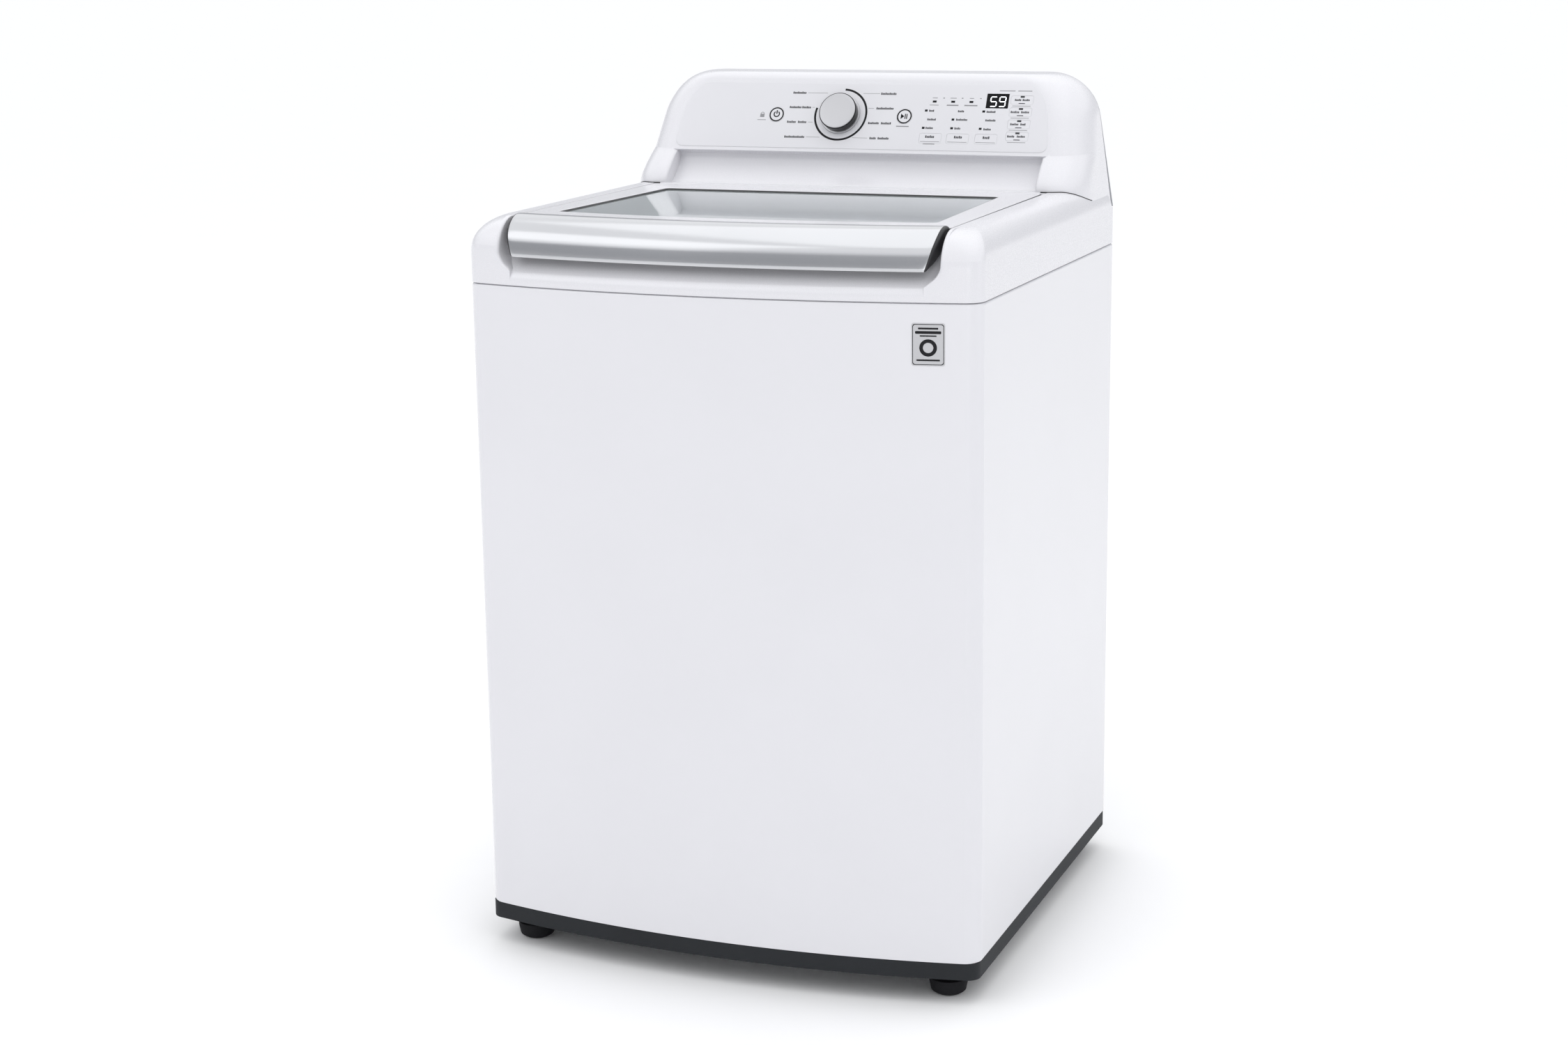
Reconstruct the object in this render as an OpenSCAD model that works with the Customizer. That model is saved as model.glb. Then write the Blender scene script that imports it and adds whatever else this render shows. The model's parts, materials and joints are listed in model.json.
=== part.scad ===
// Top load washing machine, impeller type, with a glass lid.
// Origin at floor level under the middle of the machine, front towards -Y, +Z up.

/* [Cabinet] */
// Width of the cabinet
body_w = 686; // [660:1:700]
// Y of the front panel's middle, the foremost point of the bow
front_y = -360.5; // [-365:0.5:-355]
// Y of the cabinet's rear face
rear_y = 322; // [315:1:330]
// How far the front panel bows out at its middle
bow = 38.5; // [30:0.5:42]
// Outside radius of the cabinet's upright corners
corner_r = 18; // [12:1:24]
// Thickness of the cabinet's steel sheet
sheet_t = 0.8; // [0.7:0.1:1.5]
// Height of the band's lower edge above the floor
foot_h = 33; // [30:1:36]
// Height of the dark band of the base frame
band_h = 22; // [20:1:26]
// Height of the seam between the cabinet and the top cover
seam_z = 893; // [885:1:900]

/* [Top cover and lid] */
// Height of the top cover's flat top and of the lid
deck_z = 978; // [970:1:982]
// Radius of the top cover's side shoulders
shoulder_r = 38; // [30:1:42]
// Wall thickness of the large mouldings
wall = 3; // [2.5:0.5:4]
// Height of the floor of the lid's recess
tray_z = 948; // [944:1:950]
// Half width of the lid at the hinge
lid_hw_rear = 286; // [280:1:288]
// Half width of the lid at the handle
lid_hw_front = 291; // [286:1:292]
// Height of the lid's underside
lid_under_z = 957; // [955:1:960]
// Y of the lid's rear edge
lid_rear_y = 144; // [140:1:146]
// Y of the hinge axis
hinge_y = 132; // [128:1:134]
// Height of the hinge axis
hinge_z = 966; // [964:1:968]
// Thickness of the glass pane
glass_t = 4; // [3:0.5:5]
// Y of the back of the handle, on the middle line
handle_back_y = -306; // [-310:1:-300]

/* [Console] */
// Total height of the machine
total_h = 1130; // [1120:1:1140]
// Y of the panel's lower lip
lip_y = 195; // [190:1:200]
// Height of the panel's lower lip
lip_z = 1022; // [1018:1:1026]
// Lean of the panel from the upright, in degrees
panel_lean = 27.3; // [25:0.1:30]
// Height of the panel along its slope
panel_len = 111; // [108:1:114]
// Half width of the recess under the panel
cove_hw = 272; // [268:1:282]

/* [Controls] */
// Knob's X on the panel
knob_x = -30.5; // [-33:0.5:-26]
// Knob's height up the panel's slope
knob_v = 57; // [54:1:60]
// Knob's radius
knob_r = 28; // [26:1:30]
// How far the knob stands out of the panel
knob_h = 17; // [14:1:22]
// Radius of the round power and start keys
round_key_r = 11.4; // [10:0.1:12]
// Gap round each key
key_gap = 0.4; // [0.3:0.1:0.6]

/* [Tub and basket] */
// Y of the vertical axis of the tub, the basket and the motor
tub_y = -20; // [-22:1:-18]
// Outer radius of the tub
tub_r = 288; // [284:1:290]
// Height of the underside of the tub's floor
tub_z = 178; // [176:1:180]
// Height of the tub's rim
tub_top_z = 820; // [810:1:825]
// Outer radius of the wash basket
basket_r = 262; // [258:1:264]
// Radius of the free mouth through the balance ring
mouth_r = 222; // [215:1:224]
// Distance of each suspension rod from the tub's axis along X and along Y
rod_d = 262; // [258:1:264]
// Radius of a suspension rod
rod_r = 4; // [3.5:0.5:4]

/* [Hidden] */

$fn = 64;
// Segments of arcs with a very large radius
big_fn = 720;
eps = 0.01;

half_w = body_w / 2;
base_top_z = foot_h + band_h;
bow_r = (half_w * half_w + bow * bow) / (2 * bow);
bow_y = front_y + bow_r;
corner_x = half_w - corner_r;
front_corner_y = bow_y - sqrt(pow(bow_r - corner_r, 2) - corner_x * corner_x);
rear_corner_y = rear_y - corner_r;

seam_gap = 1.5;
cover_z = seam_z + seam_gap;
shoulder_x = half_w - shoulder_r;
shoulder_z = deck_z - shoulder_r;
nose_r = 46;
nose_y = -284;
pocket_z = 914;
lid_gap = 2.5;
tray_rear_y = 151;
cheek_y = 153;

opening_hw = 232;
opening_front_y = -250;
opening_rear_y = 98;
opening_r = 60;
skirt_z = 872;

glass_hw_rear = 240;
glass_hw_front = 254;
glass_rear_y = 86;
glass_front_y = -251;

drawer_x0 = -165;
drawer_x1 = -35;
drawer_z0 = 893;
drawer_z1 = 940;
drawer_y1 = 268;

foot_x = 293;
foot_front_y = -286;
foot_rear_y = 287;
stud_r = 6;
run_gap = 0.05;

pump_x = -150;
pump_y = 120;
hose_x = -176;
hose_z = 105;
spin_r = 15;
wash_r = 8.5;
bearing_r = 31;
valve_xs = [-140, -82];
valve_z = 1000;
port_end_y = 360.5;
port_r = 13.2;
bead_xs = [-250, -100, 0, 100, 250];

// Points along an arc from angle a0 to angle a1
function arc(cx, cy, r, a0, a1, n = 10) =
    [for (i = [0:n]) [cx + r * cos(a0 + (a1 - a0) * i / n), cy + r * sin(a0 + (a1 - a0) * i / n)]];

// Mirrors the points of a right-hand outline to the left and closes it
function both_sides(pts) =
    concat(pts, [for (i = [len(pts) - 1:-1:0]) [-pts[i][0], pts[i][1]]]);

// Rectangle with round corners, centred
module rounded_rect(w, h, r) {
    square([w - 2 * r, h], center = true);
    square([w, h - 2 * r], center = true);
    for (sx = [-1, 1])
        for (sy = [-1, 1])
            translate([sx * (w / 2 - r), sy * (h / 2 - r)])
                circle(r = r);
}

// Plan of the cabinet, moved inwards by t
module footprint(t) {
    r = corner_r - t;
    tx = corner_x * (1 + r / (bow_r - corner_r));
    intersection() {
        translate([0, bow_y])
            circle(r = bow_r - t, $fn = big_fn);
        translate([-tx, front_y - 1])
            square([2 * tx, front_corner_y - front_y + 1 + eps]);
    }
    translate([-half_w + t, front_corner_y])
        square([body_w - 2 * t, rear_corner_y - front_corner_y]);
    translate([-corner_x, front_corner_y])
        square([2 * corner_x, rear_y - t - front_corner_y]);
    for (sx = [-1, 1])
        for (cy = [front_corner_y, rear_corner_y])
            translate([sx * corner_x, cy])
                circle(r = r);
}

// Draws its children, given in (y, z), across the whole width from -hw to +hw
module across(hw) {
    rotate([90, 0, 90])
        translate([0, 0, -hw])
            linear_extrude(2 * hw)
                children();
}

// Draws its children, given in (x, z), from y0 to y1
module along(y0, y1) {
    translate([0, y1, 0])
        rotate([90, 0, 0])
            linear_extrude(y1 - y0)
                children();
}

// Turns a profile given in (y, z) on the middle line round the bow's own axis
module bowed(sweep = 40) {
    translate([0, bow_y, 0])
        rotate([0, 0, -90 - sweep / 2])
            rotate_extrude(angle = sweep, $fn = big_fn)
                mirror([1, 0])
                    translate([-bow_y, 0])
                        children();
}

// Puts its children on the panel: x across, y up the slope, z out of the panel
module on_panel() {
    translate([0, lip_y, lip_z])
        rotate([90 - panel_lean, 0, 0])
            children();
}

// Places its children at the four suspension rods
module at_rods() {
    for (sx = [-1, 1])
        for (sy = [-1, 1])
            translate([sx * rod_d, tub_y + sy * rod_d, 0])
                children();
}

// Places its children on the tub's axis
module on_axis() {
    translate([0, tub_y, 0])
        children();
}

module ring(r_out, r_in, z0, z1) {
    translate([0, 0, z0])
        difference() {
            cylinder(r = r_out, h = z1 - z0);
            translate([0, 0, -1])
                cylinder(r = r_in, h = z1 - z0 + 2);
        }
}

// ---------- cabinet and base ----------

module cabinet() {
    color([0.9, 0.9, 0.92])
    difference() {
        union() {
            translate([0, 0, base_top_z])
                linear_extrude(seam_z - base_top_z)
                    difference() {
                        footprint(0);
                        footprint(sheet_t);
                    }
            for (z = [base_top_z, seam_z - sheet_t])
                translate([0, 0, z])
                    linear_extrude(sheet_t)
                        difference() {
                            footprint(0);
                            footprint(14);
                        }
        }
        translate([-half_w + 28, rear_y - 4, base_top_z + 25])
            cube([body_w - 56, 10, seam_z - base_top_z - 50]);
    }
}

// Rear sheet with pressed upright beads
module rear_panel() {
    bead = 5;
    bead_w = 50;
    color([0.72, 0.73, 0.75])
    difference() {
        union() {
            translate([-half_w + 15, rear_y, base_top_z + 12])
                cube([body_w - 30, sheet_t, seam_z - base_top_z - 24]);
            for (x = bead_xs)
                translate([x, 0, base_top_z + 60])
                    linear_extrude(seam_z - base_top_z - 120)
                        polygon([
                            [-bead_w / 2, rear_y + eps],
                            [bead_w / 2, rear_y + eps],
                            [bead_w / 2 - bead, rear_y + bead + sheet_t],
                            [-bead_w / 2 + bead, rear_y + bead + sheet_t]
                        ]);
        }
        for (x = bead_xs)
            translate([x, 0, base_top_z + 62])
                linear_extrude(seam_z - base_top_z - 124)
                    polygon([
                        [-bead_w / 2 + 1.5, rear_y - 1],
                        [bead_w / 2 - 1.5, rear_y - 1],
                        [bead_w / 2 - bead - 0.8, rear_y + bead],
                        [-bead_w / 2 + bead + 0.8, rear_y + bead]
                    ]);
        translate([hose_x, rear_y - 1, hose_z])
            rotate([-90, 0, 0])
                cylinder(r = 20, h = 4);
        translate([-hose_x, rear_y - 1, 840])
            rotate([-90, 0, 0])
                cylinder(r = 9, h = 4);
    }
}

module rear_screws() {
    color([0.6, 0.6, 0.62])
    for (x = [-half_w + 21, half_w - 21])
        for (z = [90, 350, 610, 870])
            translate([x, rear_y + sheet_t, z])
                rotate([-90, 0, 0])
                    difference() {
                        cylinder(r = 4.5, h = 3);
                        translate([0, 0, 1.6])
                            cylinder(r = 2.2, h = 3, $fn = 6);
                    }
}

// Dark base frame: outer band, four corner plates with foot bosses, pump shelf
module base_frame() {
    color([0.16, 0.17, 0.19])
    difference() {
        union() {
            translate([0, 0, foot_h])
                linear_extrude(band_h)
                    difference() {
                        footprint(0.6);
                        footprint(0.6 + wall);
                    }
            translate([0, 0, base_top_z - wall])
                linear_extrude(wall)
                    difference() {
                        footprint(2);
                        footprint(16);
                    }
            translate([0, 0, base_top_z - 9])
                linear_extrude(8)
                    intersection() {
                        footprint(2);
                        union() {
                            for (sx = [-1, 1])
                                for (y = [foot_front_y, foot_rear_y])
                                    translate([sx * (foot_x + 12), y])
                                        square([90, 110], center = true);
                            translate([-half_w, pump_y - 32])
                                square([half_w + pump_x + 32, 76]);
                        }
                    }
            for (sx = [-1, 1])
                for (y = [foot_front_y, foot_rear_y])
                    translate([sx * foot_x, y, foot_h])
                        cylinder(r = 16, h = band_h - 4);
        }
        for (sx = [-1, 1])
            for (y = [foot_front_y, foot_rear_y])
                translate([sx * foot_x, y, 0])
                    cylinder(r = stud_r + run_gap, h = 100);
    }
}

module foot_nuts() {
    color([0.7, 0.7, 0.72])
    for (sx = [-1, 1])
        for (y = [foot_front_y, foot_rear_y])
            translate([sx * foot_x, y, foot_h - 7])
                difference() {
                    cylinder(r = 11, h = 7, $fn = 6);
                    translate([0, 0, -1])
                        cylinder(r = stud_r + run_gap, h = 9);
                }
}

// Levelling foot: tapered rubber pad on a threaded stud
module foot(x, y) {
    color([0.12, 0.12, 0.13])
    translate([x, y, 0]) {
        rotate_extrude()
            polygon(concat(
                [[0, 0], [17, 0]],
                arc(19, 6, 4, -60, -10, 4),
                [[25, 16], [25, 21], [0, 21]]
            ));
        translate([0, 0, 21])
            cylinder(r = stud_r, h = 52);
    }
}

module foot_front_left() { foot(-foot_x, foot_front_y); }
module foot_front_right() { foot(foot_x, foot_front_y); }
module foot_rear_left() { foot(-foot_x, foot_rear_y); }
module foot_rear_right() { foot(foot_x, foot_rear_y); }

// ---------- top cover ----------

// Outer shape of the top cover, moved inwards by t
module cover_solid(t) {
    intersection() {
        translate([0, 0, cover_z])
            linear_extrude(deck_z - cover_z)
                footprint(t);
        along(front_y - 5, rear_y + 5)
            polygon(both_sides(concat(
                [[half_w - t, cover_z - 1]],
                arc(shoulder_x, shoulder_z, shoulder_r - t, 0, 90)
            )));
        across(half_w + 5)
            polygon(concat(
                [[rear_y + 5, cover_z - 1], [rear_y + 5, deck_z - t]],
                arc(nose_y, deck_z - nose_r, nose_r - t, 90, 150, 8),
                [[front_y - 5, 936 - 2 * t], [front_y - 5, cover_z - 1]]
            ));
    }
}

// Plan of the lid's recess, or of the lid with a smaller gap
module lid_plan(gap, y_front, y_rear) {
    polygon([
        [-lid_hw_front - gap, y_front],
        [lid_hw_front + gap, y_front],
        [lid_hw_rear + gap, y_rear],
        [-lid_hw_rear - gap, y_rear]
    ]);
}

// Space above the tray and above the finger pocket, lowered by drop
module recess_solid(drop, gap) {
    intersection() {
        translate([0, 0, pocket_z - drop - 1])
            linear_extrude(120)
                lid_plan(lid_gap + gap, front_y - 10, tray_rear_y + gap);
        bowed()
            polygon([
                [front_y - 10, pocket_z - drop],
                [-338, pocket_z - drop],
                [-322, pocket_z + 10 - drop],
                [-308, tray_z - drop],
                [200, tray_z - drop],
                [200, 1040],
                [front_y - 10, 1040]
            ]);
    }
}

module opening_plan(grow) {
    translate([0, (opening_front_y + opening_rear_y) / 2])
        rounded_rect(
            2 * (opening_hw + grow),
            opening_rear_y - opening_front_y + 2 * grow,
            opening_r + grow
        );
}

module top_cover() {
    color([0.92, 0.92, 0.94])
    difference() {
        union() {
            difference() {
                cover_solid(0);
                translate([0, 0, -eps])
                    cover_solid(wall);
            }
            intersection() {
                cover_solid(0);
                recess_solid(wall, wall);
            }
            translate([0, 0, skirt_z])
                linear_extrude(tray_z - skirt_z)
                    opening_plan(wall);
            translate([0, 0, seam_z - 12])
                linear_extrude(16)
                    difference() {
                        footprint(15);
                        footprint(18);
                    }
            translate([0, 0, seam_z])
                linear_extrude(seam_gap + 1)
                    difference() {
                        footprint(2);
                        footprint(18);
                    }
        }
        recess_solid(0, 0);
        translate([0, 0, skirt_z - 1])
            linear_extrude(200)
                opening_plan(0);
        translate([-270, 185, 960])
            cube([540, 115, 40]);
        translate([drawer_x0 - 3, opening_rear_y - 20, drawer_z0 - 3])
            cube([drawer_x1 - drawer_x0 + 6, 50, drawer_z1 - drawer_z0 + 5]);
        for (sx = [-1, 1])
            translate([sx * 290, hinge_y, hinge_z])
                rotate([0, 90, 0])
                    cylinder(r = 6, h = 14, center = true);
        translate([256, -212, tray_z - 10])
            cube([12, 24, 20]);
    }
}

module hinge_brackets() {
    color([0.2, 0.2, 0.22])
    for (sx = [-1, 1])
        difference() {
            translate([sx * 300 - 7, hinge_y - 12, 951])
                cube([14, 24, 24]);
            translate([sx * 300, hinge_y, hinge_z])
                rotate([0, 90, 0])
                    cylinder(r = 4 + run_gap, h = 30, center = true);
        }
}

module lid_lock() {
    color([0.15, 0.15, 0.17])
    difference() {
        translate([240, -232, 905])
            cube([44, 64, 40]);
        translate([256, -212, 915])
            cube([12, 24, 40]);
    }
}

// Box behind the drawer's front, open towards the tub
module drawer_housing() {
    t = 2;
    color([0.85, 0.86, 0.88])
    difference() {
        translate([drawer_x0 - 1 - t, opening_rear_y + 4, drawer_z0 - 1 - t])
            cube([
                drawer_x1 - drawer_x0 + 2 + 2 * t,
                drawer_y1 - opening_rear_y,
                drawer_z1 - drawer_z0 + 2 + 2 * t
            ]);
        translate([drawer_x0 - 1, opening_rear_y, drawer_z0 - 1])
            cube([drawer_x1 - drawer_x0 + 2, drawer_y1 - opening_rear_y + 2, drawer_z1 - drawer_z0 + 2]);
        for (x = valve_xs)
            translate([x, 230, drawer_z1])
                cylinder(r = 8, h = 10);
    }
}

// Pull-out drawer with two compartments and a finger lip
module detergent_drawer() {
    t = 2;
    w = drawer_x1 - drawer_x0;
    mid_x = drawer_x0 + w * 0.62;
    color([0.75, 0.8, 0.86])
    difference() {
        translate([drawer_x0, opening_rear_y + 1, drawer_z0])
            cube([w, drawer_y1 - opening_rear_y - 4, drawer_z1 - drawer_z0]);
        translate([drawer_x0 + t, opening_rear_y + 12, drawer_z0 + t])
            cube([mid_x - drawer_x0 - 1.5 * t, drawer_y1 - opening_rear_y - 18, 60]);
        translate([mid_x + t / 2, opening_rear_y + 12, drawer_z0 + t])
            cube([drawer_x1 - mid_x - 1.5 * t, drawer_y1 - opening_rear_y - 18, 60]);
        translate([drawer_x0 + 35, opening_rear_y - 1, drawer_z0 - 1])
            cube([w - 70, 8, 15]);
    }
}

// ---------- lid ----------

// Glass outline with a bowed front edge, grown by g
module glass_plan(g) {
    intersection() {
        polygon([
            [-glass_hw_front - g, glass_front_y - g],
            [glass_hw_front + g, glass_front_y - g],
            [glass_hw_rear + g, glass_rear_y + g],
            [-glass_hw_rear - g, glass_rear_y + g]
        ]);
        translate([0, bow_y])
            circle(r = bow_y - glass_front_y + g, $fn = big_fn);
    }
}

// Lid outline with a bowed front edge, moved inwards by t
module lid_outline(t) {
    intersection() {
        lid_plan(-t, handle_back_y - 5, lid_rear_y - t);
        translate([0, bow_y])
            circle(r = bow_y - handle_back_y - t, $fn = big_fn);
    }
}

module lid_frame() {
    glass_z = deck_z - glass_t - 0.5;
    color([0.93, 0.93, 0.95])
    difference() {
        translate([0, 0, lid_under_z])
            linear_extrude(deck_z - lid_under_z)
                lid_outline(0);
        translate([0, 0, glass_z])
            linear_extrude(20)
                glass_plan(0.4);
        translate([0, 0, lid_under_z - 1])
            linear_extrude(40)
                glass_plan(-14);
        translate([0, 0, lid_under_z - 1])
            linear_extrude(glass_z - lid_under_z - 1.5)
                difference() {
                    lid_outline(wall);
                    glass_plan(-11);
                    for (sx = [-1, 1])
                        translate([sx * 275 - 14, hinge_y - 14])
                            square([28, 30]);
                }
        for (sx = [-1, 1])
            translate([sx * 280, hinge_y, hinge_z])
                rotate([0, 90, 0])
                    cylinder(r = 4, h = 20, center = true);
    }
}

module lid_glass() {
    color([0.55, 0.62, 0.65, 0.5])
    translate([0, 0, deck_z - glass_t - 0.5])
        linear_extrude(glass_t)
            glass_plan(0);
}

module lid_hinge_pins() {
    color([0.7, 0.7, 0.72])
    for (sx = [-1, 1])
        translate([sx * 287.5, hinge_y, hinge_z])
            rotate([0, 90, 0])
                cylinder(r = 4, h = 27, center = true);
}

// Handle: a hollow bar with a round nose along the lid's bowed front
module lid_handle() {
    color([0.72, 0.73, 0.75])
    union() {
        intersection() {
            bowed()
                polygon([
                    [handle_back_y, 981],
                    [-319, 980],
                    [-331, 976],
                    [-341, 969],
                    [-349, 959],
                    [-354.5, 947],
                    [-357, 933],
                    [-356, 930],
                    [-352, 930],
                    [-351, 945],
                    [-346, 957],
                    [-338, 966],
                    [-329, 972],
                    [-319, 975],
                    [handle_back_y, 975]
                ]);
            translate([-289, -400, 900])
                cube([578, 200, 100]);
        }
        for (sx = [-1, 1])
            intersection() {
                bowed()
                    polygon([
                        [handle_back_y, 978],
                        [-329, 974],
                        [-346, 959],
                        [-352, 945],
                        [-353, 933],
                        [-330, 940],
                        [handle_back_y, 957]
                    ]);
                translate([sx * 286 - 3, -400, 900])
                    cube([6, 200, 100]);
            }
    }
}

// Hook under the lid's right side
module lid_strike() {
    color([0.2, 0.2, 0.22])
    difference() {
        translate([259, -205, 925])
            cube([6, 10, 46]);
        translate([250, -202, 930])
            cube([20, 4, 8]);
    }
}

// ---------- console ----------

// Outer shape of the console, moved inwards by t
module console_solid(t) {
    top_r = 70;
    panel_y = lip_y + panel_len * sin(panel_lean);
    panel_z = lip_z + panel_len * cos(panel_lean);
    intersection() {
        along(100, rear_y - (t > 0 ? -10 : 0))
            polygon(both_sides(concat(
                [[half_w - 2 - t, 930]],
                arc(252, total_h - top_r, top_r - t, 8, 90)
            )));
        across(half_w + 5)
            polygon(concat(
                [[rear_y + (t > 0 ? 20 : 0), 930], [rear_y + (t > 0 ? 20 : 0), total_h - t]],
                [[panel_y + 16, total_h - t], [panel_y + t, panel_z - t]],
                [[lip_y + 1.15 * t, lip_z], [cheek_y + 1.4 * t, 978], [cheek_y + 1.4 * t, 930]]
            ));
        translate([0, 0, 900])
            linear_extrude(300)
                polygon(both_sides([
                    [290 - t, cheek_y - 8],
                    [300 - t, cheek_y],
                    [318 - t, cheek_y + 16],
                    [331 - t, cheek_y + 42],
                    [338 - t, cheek_y + 75],
                    [half_w - t, cheek_y + 120],
                    [half_w - t, rear_y + 30]
                ]));
    }
}

// Space of the recess under the panel, moved back by t
module cove_solid(t) {
    across(cove_hw + t)
        polygon([
            [120, 977 - 2 * t],
            [168 + t, 977 - 2 * t],
            [184 + t, 984],
            [200 + t, 997],
            [209 + t, 1012 + t / 2],
            [196, 1021],
            [120, 1021]
        ]);
}

module key_hole(x, v, w, h) {
    translate([x, v, -10])
        linear_extrude(20)
            rounded_rect(w + 2 * key_gap, h + 2 * key_gap, 3);
}

option_key_w = 32;
option_key_h = 15;
side_key_w = 32;
side_key_h = 13;
option_xs = [107, 146.5, 187.5];
option_v = 24;
side_x = 231.5;
side_vs = [83, 65, 47, 29];
power_x = -127;
start_x = 64.5;
round_key_v = 56;
display_x = 196.5;
display_v = 81;
display_w = 32;
display_h = 22;

// All openings through the panel
module panel_holes() {
    translate([knob_x, knob_v, -10])
        cylinder(r = 5, h = 20);
    for (x = [power_x, start_x])
        translate([x, round_key_v, -10])
            cylinder(r = round_key_r + key_gap, h = 20);
    for (x = option_xs)
        key_hole(x, option_v, option_key_w, option_key_h);
    for (v = side_vs)
        key_hole(side_x, v, side_key_w, side_key_h);
    translate([display_x - display_w / 2, display_v - display_h / 2, -10])
        cube([display_w, display_h, 20]);
}

module control_panel() {
    color([0.92, 0.92, 0.94])
    difference() {
        union() {
            difference() {
                console_solid(0);
                console_solid(wall);
            }
            intersection() {
                console_solid(0);
                difference() {
                    cove_solid(wall);
                    translate([-half_w, 100, 900])
                        cube([body_w, 260, 77.9]);
                }
            }
        }
        cove_solid(0);
        cover_solid(0);
        translate([-half_w, 100, 900])
            cube([body_w, 160, 36]);
        on_panel()
            panel_holes();
    }
}

module panel_overlay() {
    color([0.94, 0.94, 0.95])
    on_panel()
        difference() {
            translate([0, panel_len / 2, 0.02])
                linear_extrude(0.78)
                    rounded_rect(520, 98, 10);
            panel_holes();
        }
}

// Key cap with its pusher behind
module round_key(x) {
    color([0.93, 0.93, 0.95])
    on_panel()
        translate([x, round_key_v, -4])
            cylinder(r = round_key_r, h = 5.2);
}

module flat_key(x, v, w, h) {
    color([0.93, 0.93, 0.95])
    on_panel()
        translate([x, v, -4])
            linear_extrude(4.8)
                rounded_rect(w, h, 2.6);
}

module power_key() { round_key(power_x); }
module start_key() { round_key(start_x); }
module temp_key() { flat_key(option_xs[0], option_v, option_key_w, option_key_h); }
module spin_key() { flat_key(option_xs[1], option_v, option_key_w, option_key_h); }
module soil_key() { flat_key(option_xs[2], option_v, option_key_w, option_key_h); }
module side_key_1() { flat_key(side_x, side_vs[0], side_key_w, side_key_h); }
module side_key_2() { flat_key(side_x, side_vs[1], side_key_w, side_key_h); }
module side_key_3() { flat_key(side_x, side_vs[2], side_key_w, side_key_h); }
module side_key_4() { flat_key(side_x, side_vs[3], side_key_w, side_key_h); }

// Knob with its shaft, which turns in the encoder on the display board
module cycle_knob() {
    color([0.78, 0.79, 0.8])
    on_panel()
        translate([knob_x, knob_v, 0]) {
            rotate_extrude()
                polygon([
                    [0, 1.6],
                    [knob_r + 1, 1.6],
                    [knob_r + 1, 4],
                    [knob_r, 6],
                    [knob_r - 0.5, knob_h - 1.5],
                    [knob_r - 2, knob_h],
                    [0, knob_h]
                ]);
            translate([0, 0, -9])
                cylinder(r = 3, h = 12);
        }
}

module display_window() {
    color([0.05, 0.05, 0.06])
    on_panel()
        translate([display_x - display_w / 2, display_v - display_h / 2, -3])
            cube([display_w, display_h, 4]);
}

// Board behind the panel, with the knob's encoder, switches and standoffs
module display_board() {
    board_z = -13;
    board_x = -170;
    board_w = 430;
    board_v = 10;
    board_h = 88;
    board_t = 1.6;
    post_r = 3;
    switch_h = 5;
    standoff_h = 7.2;
    standoff_xs = [board_x + 5, 167];
    color([0.1, 0.35, 0.2])
    on_panel()
        difference() {
            union() {
                translate([board_x, board_v, board_z])
                    cube([board_w, board_h, board_t]);
                translate([knob_x - 8, knob_v - 8, board_z + board_t])
                    cube([16, 16, switch_h]);
                for (x = [power_x, start_x])
                    translate([x, round_key_v, board_z + board_t])
                        cylinder(r = post_r, h = switch_h);
                for (x = option_xs)
                    translate([x, option_v, board_z + board_t])
                        cylinder(r = post_r, h = switch_h);
                for (v = side_vs)
                    translate([side_x, v, board_z + board_t])
                        cylinder(r = post_r, h = switch_h);
                for (x = standoff_xs)
                    for (v = [board_v + 5, board_v + board_h - 5])
                        translate([x, v, board_z + board_t])
                            cylinder(r = post_r, h = standoff_h);
                translate([display_x - 14, display_v - 9, board_z + board_t])
                    cube([28, 18, 8.4]);
            }
            translate([knob_x, knob_v, board_z - 1])
                cylinder(r = 3 + run_gap, h = 12);
        }
}

module main_board() {
    color([0.12, 0.3, 0.2])
    union() {
        translate([60, 296, 985])
            cube([200, 4, 92]);
        translate([66, 294, 990])
            cube([188, 2, 82]);
        translate([80, 272, 1000])
            cube([36, 22, 40]);
        for (x = [140, 165, 190])
            translate([x, 294, 1030])
                rotate([90, 0, 0])
                    cylinder(r = 9, h = 20);
        translate([212, 280, 1000])
            cube([34, 14, 60]);
        for (x = [70, 250])
            translate([x, rear_y, 1080])
                rotate([90, 0, 0])
                    cylinder(r = 5, h = 26);
        for (x = [70, 250])
            translate([x - 5, 296, 1070])
                cube([10, 4, 14]);
    }
}

module console_back() {
    color([0.8, 0.81, 0.83])
    difference() {
        along(rear_y, rear_y + 1.2)
            polygon(both_sides(concat(
                [[half_w - 4, 944]],
                arc(252, total_h - 70, 68, 8, 90)
            )));
        for (x = valve_xs)
            translate([x, rear_y - 1, valve_z])
                rotate([-90, 0, 0])
                    cylinder(r = 12, h = 4);
    }
}

// Two inlet valves with threaded ports out of the back and spouts down to the drawer
module water_valves() {
    color([0.88, 0.88, 0.9])
    for (x = valve_xs)
        translate([x, 0, valve_z]) {
            difference() {
                union() {
                    translate([0, rear_y + 1.2, 0])
                        rotate([-90, 0, 0])
                            cylinder(r = 17, h = 5);
                    translate([0, 262, 0])
                        rotate([-90, 0, 0])
                            cylinder(r = 11, h = port_end_y - 262 - 14);
                    translate([0, port_end_y - 16, 0])
                        rotate([-90, 0, 0])
                            cylinder(r = port_r, h = 16);
                }
                translate([0, port_end_y - 30, 0])
                    rotate([-90, 0, 0])
                        cylinder(r = 8, h = 40);
            }
            translate([-14, 252, -14])
                cube([28, 28, 44]);
            translate([0, 262, -50])
                cylinder(r = 7, h = 40);
        }
}

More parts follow.
